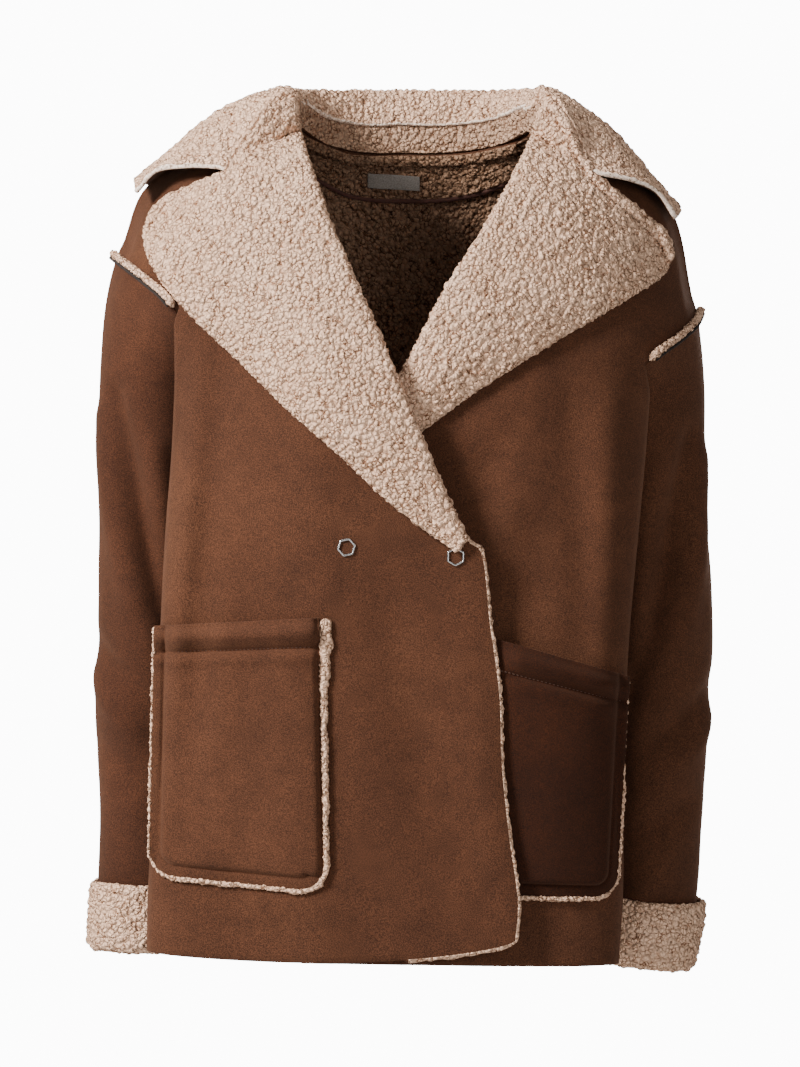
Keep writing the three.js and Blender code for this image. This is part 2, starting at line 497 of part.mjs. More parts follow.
// A closed wall of the given thickness about a sheet, drawn in by half a seam gap at its edges.
function wall(sheet, normals, thickness, drawnIn = SEAM_GAP / 2) {
  const edges = new Map();
  sheet.triangles.forEach((triangle) => triangle.forEach((a, i) => {
    const b = triangle[(i + 1) % 3];
    edges.set(`${a},${b}`, { a, b, normal: faceNormal(sheet, triangle).normalize() });
  }));
  const rim = [...edges.values()].filter(({ a, b }) => !edges.has(`${b},${a}`));
  const inward = sheet.points.map(() => vec(0, 0, 0));
  rim.forEach(({ a, b, normal }) => {
    const way = normal.clone().cross(sheet.points[b].clone().sub(sheet.points[a])).normalize();
    inward[a].add(way);
    inward[b].add(way);
  });
  const middle = sheet.points.map((p, i) => (
    inward[i].lengthSq() > 0 ? p.clone().addScaledVector(inward[i].normalize(), drawnIn) : p
  ));
  const way = sheet.points.map((p) => normals.get(keyOf(p)).clone().normalize());
  const outer = middle.map((p, i) => p.clone().addScaledVector(way[i], thickness / 2));
  const inner = middle.map((p, i) => p.clone().addScaledVector(way[i], -thickness / 2));
  const count = middle.length;
  const faces = [];
  sheet.triangles.forEach(([a, b, c]) => faces.push(a, b, c, a + count, c + count, b + count));
  rim.forEach(({ a, b }) => faces.push(b, a, a + count, b, a + count, b + count));
  const geometry = new THREE.BufferGeometry();
  geometry.setAttribute('position', new THREE.Float32BufferAttribute(
    outer.concat(inner).flatMap((p) => p.toArray()), 3));
  geometry.setIndex(faces);
  geometry.computeVertexNormals();
  return geometry;
}

// ---- Cutting a piece back from its neighbours, so that a seam gap stays between them ----
const wasm = await Module();
wasm.setup();
function solidOf(geometry) {
  const bare = new THREE.BufferGeometry();
  bare.setAttribute('position', geometry.getAttribute('position'));
  bare.setIndex(geometry.getIndex());
  const welded = mergeVertices(bare, 1e-3);
  return new wasm.Manifold(new wasm.Mesh({
    numProp: 3,
    vertProperties: welded.getAttribute('position').array,
    triVerts: new Uint32Array(welded.getIndex().array),
  }));
}
function cutBack(geometry, neighbours) {
  const cut = neighbours.reduce((solid, other) => solid.subtract(solidOf(other)), solidOf(geometry));
  const whole = cut.decompose().sort((a, b) => b.volume() - a.volume())[0];
  const mesh = whole.getMesh();
  const out = new THREE.BufferGeometry();
  out.setAttribute('position', new THREE.BufferAttribute(new Float32Array(mesh.vertProperties), 3));
  out.setIndex(new THREE.BufferAttribute(new Uint32Array(mesh.triVerts), 1));
  return out;
}

const group = new THREE.Group();
function add(name, geometry, material) {
  const mesh = new THREE.Mesh(geometry, material);
  mesh.name = name;
  group.add(mesh);
  return mesh;
}
// ---- Fronts with their lapels, and the back ----
const everyRow = Array.from({ length: LAST + 1 }, (_, v) => v);
const lapelRows = (side) => everyRow.slice(BREAK).map((v) => lapelRow(side, v));

function frontSheet(side) {
  const sheet = new Sheet();
  sheet.grid(everyRow.map((v) => frontRow(side, v)), side.sign < 0);
  // The lapel's rows start on the front's inner column, so the two weld into one piece.
  sheet.grid(lapelRows(side), side.sign > 0);
  return sheet;
}

const rightLapel = lapelRows(RIGHT);
const leftLapel = lapelRows(LEFT);
const rightFront = frontSheet(RIGHT);
const leftFront = frontSheet(LEFT);
const backRows = everyRow.map(backRow);
const backSheet = new Sheet().grid(backRows, true);

// ---- Neck: stand and collar ----
const STAND_RISE = [{ x: 0, z: 31 }, { x: 0.6, z: 28 }, { x: 1, z: 22 }];
const STAND_IN = 0.96;         // the stand leans in by this share
const STAND_BACK = 3;          // and back by this much
const neckFront = (side) => [innerPoint(side, NECK), innerPoint(side, NECK + 1)];
const rollStart = (side, v) => lapelRow(side, v)[0];
const neckFirst = PANEL_STEPS + TURN_STEPS;
const backNeck = backRows[LAST].slice(neckFirst, neckFirst + 2 * NECK_STEPS + 1);
const neckSeam = [...neckFront(RIGHT), ...backNeck, ...neckFront(LEFT).reverse()];
const AROUND = neckSeam.length - 1;

// The collar's seam on top of the stand.
const standTop = neckSeam.map((p, i) => {
  if (i === 0) return rollStart(RIGHT, LAST);
  if (i === AROUND) return rollStart(LEFT, LAST);
  const rise = column(STAND_RISE, 'x', clamp01(Math.abs(i - AROUND / 2) / (AROUND / 2)), 'z');
  return vec(p.x * STAND_IN, p.y + STAND_BACK, p.z + rise);
});
const standMiddle = neckSeam.map((p, i) => {
  if (i === 0) return rollStart(RIGHT, NECK + 1);
  if (i === AROUND) return rollStart(LEFT, NECK + 1);
  return p.clone().lerp(standTop[i], 0.5);
});
// The stand stops short of the lapels' rolls, which hide its ends.
const STAND_SHORT = 0.16;
const STAND_LIFT = 0.05;       // its foot sits just clear of the neck seam
const shortened = (points) => points.map((p, i) => {
  if (i === 0) return p.clone().lerp(points[1], STAND_SHORT);
  if (i === AROUND) return p.clone().lerp(points[AROUND - 1], STAND_SHORT);
  return p;
});
const standFoot = neckSeam.map((p, i) => p.clone().lerp(standTop[i], STAND_LIFT));
const standSheet = new Sheet().grid([standFoot, standMiddle, standTop].map(shortened), true);

// A collar section: from the stand, over the roll and down to the edge.
const COLLAR_STEPS = ROLL_STEPS + LAPEL_STEPS;
const COLLAR_WEIGHTS = [{ w: 0.18, part: 'roll' }, { w: 0.6, part: 'fall' }, { w: 1, part: 'edge' }];
function collarRow(i) {
  const through = (start, axis) => [{ w: 0, v: start }].concat(COLLAR_WEIGHTS.map(({ w, part }) => (
    { w, v: column(COLLAR_ROWS, 'at', i, part + axis) })));
  const start = standTop[i];
  const curves = [through(start.x, 'X'), through(start.y, 'Y'), through(start.z, 'Z')];
  return steps(COLLAR_STEPS).map((t) => vec(...curves.map((curve) => column(curve, 'w', t, 'v'))));
}
function collarEnd(side, lapel) {
  const seam = lapel[lapel.length - 1].slice(0, ROLL_STEPS + GORGE_SEAM + 1);
  return seam.concat(side.leaf.map((p) => vec(p.x, p.y, p.z)));
}
const collarRows = neckSeam.map((_, i) => {
  if (i === 0) return collarEnd(RIGHT, rightLapel);
  if (i === AROUND) return collarEnd(LEFT, leftLapel);
  return collarRow(i);
});
const collarSheet = new Sheet().grid(collarRows, false);

// ---- Sleeves and cuffs ----
function armholeLoop(side) {
  const rows = everyRow.slice(UNDERARM);
  const front = rows.map((v) => frontSidePoint(side, v));
  const back = rows.slice(1, -1).map((v) => backSidePoint(side, v)).reverse();
  return front.concat(back, [front[0]]);
}
// Angles round a sleeve: the underarm is at 0 and the shoulder's tip at half a turn.
function sleevePoint(row, sign, t) {
  const angle = 2 * Math.PI * t;
  const midX = (row.outer + row.inner) / 2;
  const halfX = Math.abs(row.outer - row.inner) / 2;
  const midY = (row.front + row.back) / 2;
  const halfY = (row.back - row.front) / 2;
  const tilt = sign > 0 ? LEFT_CUFF_TILT * ease((row.z - TILT_FROM) / (TILT_FULL - TILT_FROM)) : 0;
  const x = midX - sign * halfX * Math.cos(angle);
  return vec(x, midY - halfY * Math.sin(angle), row.z + tilt * Math.cos(angle));
}
function sleeveRows(side, rows) {
  const shift = vec(side.sign * SLEEVE_SHIFT, 0, -SLEEVE_SHIFT);
  const loop = armholeLoop(side);
  const count = loop.length - 1;
  const first = steps(count).map((t) => sleevePoint(rows[0], side.sign, t));
  // Across, the cap reaches the arm's width early, so that it falls in behind the drape folds.
  const cap = steps(CAP_STEPS).slice(0, -1).map((t) => loop.map((p, j) => {
    const across = 1 - (1 - t) ** 4;
    const z = mix(p.z, first[j].z, t);
    return vec(mix(p.x, first[j].x, across), mix(p.y, first[j].y, across), z).add(shift);
  }));
  const ring = (row) => {
    const points = steps(count).map((t) => sleevePoint(row, side.sign, t));
    points[count] = points[0];
    return points;
  };
  cap.forEach((points) => { points[count] = points[0]; });
  return cap.concat(rows.map(ring));
}
function cuffRows(side, rows) {
  const end = rows[rows.length - 1];
  const count = armholeLoop(side).length - 1;
  const byDepth = rows.map((row) => ({ ...row, depth: -row.z }));
  return CUFF_ROWS.map(({ out, up }) => {
    const z = end.z + up;
    const grown = {
      z,
      outer: column(byDepth, 'depth', -z, 'outer') + side.sign * out,
      inner: column(byDepth, 'depth', -z, 'inner') - side.sign * out,
      front: column(byDepth, 'depth', -z, 'front') - out,
      back: column(byDepth, 'depth', -z, 'back') + out,
    };
    const points = steps(count).map((t) => sleevePoint(grown, side.sign, t));
    points[count] = points[0];
    return points;
  });
}

const rightSleeve = new Sheet().grid(sleeveRows(RIGHT, RIGHT_SLEEVE), false);
const leftSleeve = new Sheet().grid(sleeveRows(LEFT, LEFT_SLEEVE), true);

// ---- Pieces that lie on a panel, made from its surface moved out ----
const NORMAL_STEP = 0.5;
// A point on a panel's surface, moved along the panel's own normal. "out" is +1 for the face that
// looks forward and -1 for the one that looks back.
function onPanel(surfaceY, x, z, lift, out) {
  const dx = (surfaceY(x + NORMAL_STEP, z) - surfaceY(x - NORMAL_STEP, z)) / (2 * NORMAL_STEP);
  const dz = (surfaceY(x, z + NORMAL_STEP) - surfaceY(x, z - NORMAL_STEP)) / (2 * NORMAL_STEP);
  const n = vec(dx, -1, dz).normalize().multiplyScalar(out);
  return vec(x, surfaceY(x, z), z).addScaledVector(n, lift);
}

// The facing hangs inside the back from the neck seam. Its rows run down to the bound edge.
const FACING_LIFT = CLOTH / 2 + SEAM_GAP + FACING_CLOTH / 2 + 1;
const FACING_TOP = 3.5;        // how far below the neck seam the facing starts
const FACING_DROP = [{ x: -1, z: 22 }, { x: -0.7, z: 31 }, { x: -0.3, z: 35 }, { x: 0, z: 36 },
  { x: 0.4, z: 35 }, { x: 0.75, z: 31 }, { x: 1, z: 24 }];
const FACING_SPREAD = 400;     // the facing is wider by its drop's share of this
const TAPE_WIDTH = 5;
const TAPE_DROP = 0.4;         // how far below the facing the tape starts
const facingSeam = backNeck.slice(1, -1);
function facingPoint(i, below, lift) {
  const p = facingSeam[i];
  return onPanel(backY, p.x * (1 + below / FACING_SPREAD), p.z - FACING_TOP - below, lift, 1);
}
const facingDrop = (i) => column(FACING_DROP, 'x', 2 * i / (facingSeam.length - 1) - 1, 'z');
const facingRows = steps(2).map((t) => (
  facingSeam.map((_, i) => facingPoint(i, facingDrop(i) * t, FACING_LIFT))));
const TAPE_LIFT = CLOTH / 2 + SEAM_GAP + TAPE / 2 + 1;
const tapeRows = [TAPE_DROP, TAPE_WIDTH].map((down) => facingSeam.map((_, i) => (
  facingPoint(i, facingDrop(i) + down, TAPE_LIFT))));

const LABEL_AT = { left: -30, right: 18, top: -40, bottom: -53, tilt: 3 };
const LABEL_LIFT = FACING_LIFT + FACING_CLOTH / 2 + SEAM_GAP * 2 + LABEL / 2;
const labelRows = [LABEL_AT.bottom, LABEL_AT.top].map((z) => steps(3).map((t) => (
  onPanel(backY, mix(LABEL_AT.left, LABEL_AT.right, t), z - LABEL_AT.tilt * t, LABEL_LIFT, 1))));

// A patch pocket: flat against the front round three sides, and standing off it at the open top.
const POCKET_STEPS = 6;
const POCKET_TURN = 0.97;      // share of the front's half-width that the pocket follows it round
function pocketBase(side, x, z) {
  const width = column(GIRTH, 'z', z, side.sign < 0 ? 'right' : 'left') * POCKET_TURN;
  return side.y(side.sign * Math.min(side.sign * x, width), z);
}
function pocketPlace(pocket, across, down) {
  const at = (axis) => mix(mix(pocket.innerTop[axis], pocket.outerTop[axis], across),
    mix(pocket.innerBottom[axis], pocket.outerBottom[axis], across), down);
  return { x: at('x'), z: at('z') };
}
function pocketRows(side, pocket) {
  return steps(POCKET_STEPS).map((down) => steps(POCKET_STEPS).map((across) => {
    const { x, z } = pocketPlace(pocket, across, down);
    const bag = (Math.sin(Math.PI * across) ** 0.6) * Math.cos(Math.PI * down / 2) ** 0.7;
    return vec(x, pocketBase(side, x, z) - mix(POCKET_SEAT, POCKET_BAG, bag), z);
  }));
}

// The pocket's exposed cut edges run down its outer side, along the foot and up its inner side.
const EDGE_WIDTHS = { outer: 3, foot: 5, inner: 7 };
const EDGE_GAP = 0.8;
function pocketEdgeRows(side, pocket) {
  const away = (across, down, dx, dz) => {
    const { x, z } = pocketPlace(pocket, across, down);
    const px = x + side.sign * dx;
    return vec(px, pocketBase(side, px, z - dz) - POCKET_SEAT, z - dz);
  };
  const { outer, foot, inner } = EDGE_WIDTHS;
  const all = steps(4);
  const downOuter = all.map((t) => [away(1, t, EDGE_GAP, t * EDGE_GAP),
    away(1, t, EDGE_GAP + outer, t * (EDGE_GAP + foot))]);
  const alongFoot = all.slice(1, -1).map((t) => [away(1 - t, 1, 0, EDGE_GAP),
    away(1 - t, 1, 0, EDGE_GAP + foot)]);
  const upInner = all.reverse().map((t) => [away(0, t, -EDGE_GAP, t * EDGE_GAP),
    away(0, t, -EDGE_GAP - inner, t * (EDGE_GAP + foot))]);
  return [...downOuter, ...alongFoot, ...upInner];
}

// The armhole's exposed cut edges stand out over the seam, from the front fold over the shoulder.
const ARM_EDGE = { stand: 6.5, width: 5, clear: 1.5, bevel: 1.5, reach: 3 };
function armholeEdgeRows(side, sleeveMesh) {
  const loop = armholeLoop(side);
  const count = loop.length - 1;
  const half = count / 2;
  const rows = [];
  for (let j = half - ARM_EDGE.reach; j <= half + ARM_EDGE.reach; j += 1) {
    const normal = sleeveMesh.get(keyOf(loop[j])).clone().normalize();
    const along = loop[j + 1].clone().sub(loop[j - 1]).normalize();
    const across = along.clone().cross(normal).normalize();
    const at = (out, wide) => loop[j].clone().addScaledVector(normal, out).addScaledVector(across, wide);
    const low = CLOTH / 2 + ARM_EDGE.clear;
    const w = ARM_EDGE.width / 2;
    const top = low + ARM_EDGE.stand;
    const shoulder = top - ARM_EDGE.bevel;
    rows.push([at(low, -w), at(shoulder, -w), at(top, -w / 2), at(top, w / 2), at(shoulder, w),
      at(low, w), at(low, -w)]);
  }
  return rows;
}
// A closed bar from rows of ring points, with a fan of triangles over each end.
function bar(rows) {
  const sheet = new Sheet().grid(rows);
  [[rows[0], false], [rows[rows.length - 1], true]].forEach(([ring, far]) => {
    for (let j = 1; j + 2 < ring.length; j += 1) {
      const fanned = [ring[0], ring[j], ring[j + 1]].map((p) => sheet.point(p));
      sheet.triangles.push(far ? fanned : [fanned[0], fanned[2], fanned[1]]);
    }
  });
  const geometry = new THREE.BufferGeometry();
  const places = sheet.points.flatMap((p) => p.toArray());
  geometry.setAttribute('position', new THREE.Float32BufferAttribute(places, 3));
  const volume = sheet.triangles.reduce((sum, [a, b, c]) => (
    sum + sheet.points[a].dot(sheet.points[b].clone().cross(sheet.points[c]))), 0);
  geometry.setIndex(sheet.triangles.flatMap((t) => (volume > 0 ? t : [t[0], t[2], t[1]])));
  geometry.computeVertexNormals();
  return geometry;
}

// A thin six-sided ring lying on the front.
function snapRing() {
  const outline = (across) => Array.from({ length: 6 }, (_, i) => {
    const angle = Math.PI * i / 3;
    return new THREE.Vector2(Math.cos(angle), Math.sin(angle)).multiplyScalar(across / 2);
  });
  const shape = new THREE.Shape(outline(SNAP.across));
  shape.holes.push(new THREE.Path(outline(SNAP.across - 2 * SNAP.wire).reverse()));
  return new THREE.ExtrudeGeometry(shape, { depth: SNAP.thick, bevelEnabled: false });
}
function addSnap({ name, x, z, turn }) {
  const mesh = add(name, snapRing(), STEEL);
  const seat = onPanel(RIGHT.y, x, z, CLOTH / 2 + SEAM_GAP, 1);
  const normal = onPanel(RIGHT.y, x, z, 1, 1).sub(onPanel(RIGHT.y, x, z, 0, 1));
  mesh.position.copy(seat);
  mesh.quaternion.setFromUnitVectors(vec(0, 0, 1), normal.normalize());
  mesh.rotateZ(turn);
}

// ---- Build the sewn shell with shared normals at its seams ----
const shell = sharedNormals([rightFront, leftFront, backSheet, standSheet, collarSheet]);
const ROOM = 0.9;              // kept clear on both sides of a wall that another piece is cut back from
const room = (sheet) => [ROOM, SEAM_GAP].map((clear) => (
  wall(sheet, shell, CLOTH + 2 * clear, -SEAM_GAP)));
const bodyRoom = [rightFront, leftFront, backSheet].flatMap(room);
const stand = cutBack(wall(standSheet, shell, CLOTH), bodyRoom);
const collar = cutBack(wall(collarSheet, shell, CLOTH),
  [...room(rightFront), ...room(leftFront), ...room(standSheet)]);
const loose = (sheet, thickness) => wall(sheet, sharedNormals([sheet]), thickness);
const sleeve = (sheet) => cutBack(loose(sheet, CLOTH), bodyRoom);
const sleeveRoom = (sheet) => loose(sheet, CLOTH + 2 * SEAM_GAP);
const cuff = (side, rows) => (
  loose(new Sheet().grid(cuffRows(side, rows), side.sign > 0), CUFF_CLOTH));
// A piece lying on others, cut back from them where they bulge into it.
const laid = (name, rows, thickness, material, on, flipped = false) => (
  add(name, cutBack(loose(new Sheet().grid(rows, flipped), thickness), on), material));
const onRight = room(rightFront).slice(1);
const onLeft = room(leftFront).slice(1);
const onBack = room(backSheet).slice(1);
const armShell = sharedNormals([rightFront, leftFront, backSheet, rightSleeve, leftSleeve]);
add('right_front', wall(rightFront, shell, CLOTH), SUEDE);
add('left_front', wall(leftFront, shell, CLOTH), SUEDE);
add('back', wall(backSheet, shell, CLOTH), SUEDE);
add('collar_stand', stand, PILE);
add('collar', collar, PILE);
add('right_sleeve', sleeve(rightSleeve), SUEDE);
add('left_sleeve', sleeve(leftSleeve), SUEDE);
add('right_cuff', cuff(RIGHT, RIGHT_SLEEVE), PILE);
add('left_cuff', cuff(LEFT, LEFT_SLEEVE), PILE);
laid('neck_facing', facingRows, FACING_CLOTH, PILE, onBack);
laid('facing_tape', tapeRows, TAPE, TAPE_CLOTH, onBack);
laid('neck_label', labelRows, LABEL, SATIN, []);
laid('right_pocket', pocketRows(RIGHT, RIGHT_POCKET), CLOTH, SUEDE, onRight);
laid('left_pocket', pocketRows(LEFT, LEFT_POCKET), CLOTH, SUEDE, onLeft, true);
laid('right_pocket_edge', pocketEdgeRows(RIGHT, RIGHT_POCKET), POCKET_EDGE_CLOTH, PILE, onRight);
laid('left_pocket_edge', pocketEdgeRows(LEFT, LEFT_POCKET), POCKET_EDGE_CLOTH, PILE, onLeft);
const armEdge = (rows, sheet) => cutBack(bar(rows), [...bodyRoom, sleeveRoom(sheet)]);
add('right_armhole_edge', armEdge(armholeEdgeRows(RIGHT, armShell), rightSleeve), PILE);
add('left_armhole_edge', armEdge(armholeEdgeRows(LEFT, armShell), leftSleeve), PILE);
SNAPS.forEach(addSnap);

export default group;
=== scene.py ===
"""A hip-length double-breasted coat of bonded faux suede and pile, filled out as if worn.

Lengths are millimetres until a mesh is made, and then metres. +Z is up, the front faces -Y and
the wearer's left is +X. The tables repeat the CAD model's sections, and each cloth piece is a
thin shell on the form of its CAD solid, with drape folds, pile and bound or raw edges added.
"""
import math

import bpy
import numpy as np
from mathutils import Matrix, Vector


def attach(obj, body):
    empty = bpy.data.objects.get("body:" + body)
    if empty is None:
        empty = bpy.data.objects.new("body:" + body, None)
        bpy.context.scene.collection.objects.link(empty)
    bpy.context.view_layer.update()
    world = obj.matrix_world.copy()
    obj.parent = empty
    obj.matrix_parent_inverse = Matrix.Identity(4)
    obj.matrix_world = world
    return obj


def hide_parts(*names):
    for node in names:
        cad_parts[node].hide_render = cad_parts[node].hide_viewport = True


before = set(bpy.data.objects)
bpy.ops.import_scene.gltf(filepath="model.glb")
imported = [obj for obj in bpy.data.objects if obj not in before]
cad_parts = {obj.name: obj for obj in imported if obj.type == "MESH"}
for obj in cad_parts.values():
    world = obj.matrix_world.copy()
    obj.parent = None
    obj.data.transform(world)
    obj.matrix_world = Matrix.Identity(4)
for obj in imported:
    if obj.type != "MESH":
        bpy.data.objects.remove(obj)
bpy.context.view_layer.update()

# ---- Sizes ----
MM = 0.001
CLOTH = 3.0                 # wall of the bonded cloth
FACING_CLOTH = 2.0
TAPE = 1.2
LABEL = 1.0                 # the label in the CAD model, which sets how far it stands out
LABEL_CLOTH = 0.5           # its true thickness
SEAM_GAP = 0.3
RIDGE_Y = 4.0               # depth at which the shoulder seams run
FRONT_DEPTH = 152.0         # how far the filled-out front stands from the shoulder seams
BACK_DEPTH = 112.0          # the same for the back
DEPTH_RATE = 62.0           # how gently the form fills out below the shoulders
EDGE_POWER = 3.5            # how square the body's section is towards its sides
ROLL = 5.5                  # radius of the lapel's roll
LAPEL_EDGE_LIFT = 6.0       # how far a lapel's edge stands off the front
LAPEL_PUFF = 5.0            # how far a lapel bulges between its roll and its edge
NECK_STAND = 48.0           # a lapel's leaf lies at least this far forward
TURN_START = 0.07           # how hard the turn beside a sleeve pulls at the fold
TURN_END = 0.7              # the same at the side seam
BODY_MESH = 4.0             # spacing of points on plain cloth
PILE_MESH = 2.94            # spacing of points where the pile's curls are modelled
CURL = 5.4                  # width of one curl of the pile


# ---- Tables ----
def table(names, rows):
    """A table with named columns, one array for each."""
    return dict(zip(names.split(), np.array(rows, float).T))


# Where sideY isn't a number, the side seam lies on the panel's own surface.
FRONT_NAMES = "row innerX innerZ foldX foldZ sideX sideY sideZ"
RIGHT_ROWS = table(FRONT_NAMES, [
    (0, 99, -723, -220, -737, -157, 5, -744),
    (1, 101, -688, -219, -690, -156, 5, -692),
    (2, 93, -630, -216, -630, -154, 5, -632),
    (3, 87, -570, -213, -570, -153, 5, -572),
    (4, 85, -510, -211, -510, -152, 5, -512),
    (5, 77, -450, -208, -450, -151, 5, -452),
    (6, 70.5, -392, -206, -404, -150, 5, -408),
    (7, 57, -377, -204, -368, -150, 5, -374),
    (8, 33, -326, -201, -325, -151, 5, -336),
    (9, 8, -267, -198.5, -282, -154, 4, -298),
    (10, -17, -206, -197, -242, -160, 0, -264),
    (11, -42, -149, -197, -211, -167, -46, -237),
    (12, -62, -101, -197, -188, -182, -74, -205),
    (13, -77, -57, -192, -165, -199, np.nan, -172),
    (14, -89, -20, -214, -143, -221, np.nan, -151),
    (15, -91, -13, -235, -121, -241, np.nan, -135),
    (16, -91, -8, -247, -109, -254, 4, -124),
])
LEFT_ROWS = table(FRONT_NAMES, [
    (0, -85, -744, 189, -748, 158, 5, -752),
    (1, -86, -690, 193, -692, 156, 5, -694),
    (2, -86, -630, 193.5, -632, 154, 5, -634),
    (3, -84, -570, 194.5, -572, 153, 5, -574),
    (4, -82, -510, 196, -512, 152, 5, -516),
    (5, -78, -440, 200, -450, 151, 5, -458),
    (6, -66, -345, 207, -376, 151, 5, -400),
    (7, -54, -327, 210, -346, 153, 5, -372),
    (8, -36, -299, 213, -320, 156, 5, -346),
    (9, -12, -260, 215.5, -295, 160, 4, -322),
    (10, 12, -217, 217.5, -270, 167, 0, -302),
    (11, 41, -160, 218.5, -248, 178, -46, -275),
    (12, 72, -111, 215.5, -231, 198, -74, -246),
    (13, 97, -66, 214, -208, 219.5, np.nan, -218),
    (14, 117, -23, 233, -189, 239, np.nan, -203),
    (15, 119, -17, 252, -170, 257, np.nan, -187),
    (16, 118, -12, 261.5, -158, 266, 4, -173),
])
LAST = 16                   # the row along the shoulder seam
BREAK = 7                   # the row in which the lapel starts to roll
NECK = 14                   # the row of the front's neck point
UNDERARM = 10               # the row of the underarm

BACK_ROWS = table("row centreZ rightX leftX sideY", [
    (0, -748, -212, 200, 5),
    (1, -692, -211, 202, 5),
    (2, -632, -210, 203, 5),
    (3, -572, -209, 204, 5),
    (4, -512, -207, 205, 5),
    (5, -452, -205, 207, 5),
    (6, -398, -203, 209, 5),
    (7, -362, -201, 211, 5),
    (8, -320, -199, 213, 5),
    (9, -276, -195, 211, 4),
    (10, -236, -191, 209, 0),
    (11, -196, -187, 205, 40),
    (12, -156, -186, 205, 62),
    (13, -116, -192, 212, np.nan),
    (14, -80, -218, 236, np.nan),
    (15, -50, -236, 253, np.nan),
    (16, -26, -247, 261.5, 4),
])

RIGHT_RIDGE = np.array([(-91, -8), (-150, -21), (-195, -38), (-231, -66), (-247, -109)], float)
LEFT_RIDGE = np.array([(118, -12), (160, -25), (208, -47), (245, -85), (261.5, -158)], float)
RIGHT_SLOPE = table("x z", [
    (0, 18), (40, 12), (70, -2), (91, -8), (150, -21), (195, -37), (231, -56), (262, -74)])
LEFT_SLOPE = table("x z", [
    (0, 18), (50, 12), (92, -5), (118, -12), (160, -25), (208, -45), (245, -66), (275, -88)])
BACK_NECK = table("x z", [(0, -26), (0.35, -26), (0.7, -21), (0.92, -13), (1, -8)])
BACK_NECK_Z = -26.0

GIRTH = table("z right left backRight backLeft turn", [
    (-760, 221, 189.5, 213, 201, 0.3),
    (-690, 219.5, 193.5, 212, 203, 0.3),
    (-560, 213, 195, 209.5, 205, 0.3),
    (-431, 207.5, 202.5, 205, 209, 0.3),
    (-352, 203, 210, 201.5, 212.5, 0.33),
    (-300, 201, 216, 202, 218, 0.46),
    (-262, 206, 223, 206, 225, 0.56),
    (-230, 219, 240, 219, 240, 0.75),
    (-200, 240, 262, 240, 262, 0.92),
    (-172, 257, 266, 257, 266, 1),
    (-150, 256, 261, 256, 261, 1),
    (-124, 254, 256, 254, 256, 1),
    (-95, 243, 250, 243, 250, 1),
    (-66, 236, 245, 236, 245, 1),
    (40, 236, 245, 236, 245, 1),
])
LAP = table("z out", [
    (-750, 16), (-450, 16), (-345, 19), (-240, 20), (-150, 9), (-100, 2.5), (-60, 0), (-40, 0),
    (40, 0)])
LAP_FROM = -150.0           # from here to LAP_FULL the right front comes to lie on the left one
LAP_FULL = -62.0

RIGHT_LAPEL_EDGE = np.array([
    (49, -386.5), (-2, -349), (-55, -300), (-102, -258), (-140, -220), (-173, -189),
    (-200, -160), (-216, -137), (-223, -120), (-226, -105)], float)
LEFT_LAPEL_EDGE = np.array([
    (-50, -334), (-22, -313), (15, -285), (52, -257), (104, -223), (156, -191), (199, -165),
    (226, -147), (236, -136), (241, -122)], float)
RIGHT_ROLL_TOP = np.array([(-92, -45, -2), (-90, -42, 16)], float)
LEFT_ROLL_TOP = np.array([(123, -44, -4), (129, -40, 14)], float)
GORGE_STEPS = 4             # steps of a gorge line from the neck to the notch
RIGHT_GORGE = np.array([
    (-106, 7), (-121, -10), (-141, -38), (-150, -54), (-175, -63), (-200, -73), (-218, -87),
    (-226, -105)], float)
LEFT_GORGE = np.array([
    (136, 7), (146, -10), (157, -36), (165, -54), (187, -71), (213, -90), (234, -106),
    (241, -122)], float)
RIGHT_LEAF = np.array([(-163, -70, -51), (-190, -62, -50), (-216, -50, -53), (-233, -42, -70)], float)
LEFT_LEAF = np.array([(180, -70, -58), (204, -62, -62), (227, -50, -71), (243, -42, -93)], float)
# Collar sections by place round the neck: where the cloth rolls over, falls, and ends.
COLLAR_ROWS = table("at rollX rollY rollZ fallX fallY fallZ edgeX edgeY edgeZ", [
    (1, -102, -20, 25, -158, -30, 1, -236, -20, -60),
    (2, -101, 8, 26, -158, 10, 5, -235, 6, -54),
    (4, -75, 57, 30, -128, 78, 3, -186, 88, -66),
    (7, 0, 80, 33, 0, 106, 2, 0, 124, -78),
    (10, 91, 57, 30, 144, 78, 0, 201, 88, -76),
    (12, 128, 8, 26, 182, 10, -6, 247, 6, -76),
    (13, 129, -20, 25, 180, -30, -10, 249, -20, -86),
])
AROUND = 14                 # steps of the neck seam from the right front to the left one
STAND_RISE = table("x z", [(0, 31), (0.6, 28), (1, 22)])

SLEEVE_NAMES = "depth outer inner front back"
RIGHT_SLEEVE = table(SLEEVE_NAMES, [
    (312, -269, -171, -52, 50),
    (380, -270, -169, -54, 50),
    (451, -270, -168, -55, 52),
    (541, -272, -170, -54, 47),
    (613, -269, -171, -53, 42),
    (690, -270, -173, -52, 38),
    (740, -272, -175, -50, 36),
])
LEFT_SLEEVE = table(SLEEVE_NAMES, [
    (350, 273, 177, -52, 50),
    (415, 278, 176, -54, 50),
    (487, 278, 176, -55, 52),
    (559, 275, 176, -54, 47),
    (613, 272, 176, -53, 43),
    (700, 265, 177, -52, 38),
    (754, 257, 177, -50, 36),
])
SLEEVE_SHIFT = 0.8          # how far a sleeve's top stays clear of the armhole's seam
LEFT_CUFF_TILT = 4.5        # how far the left sleeve's end is lower outside and higher inside
TILT_FROM = 610             # depths between which the tilt grows
TILT_FULL = 700

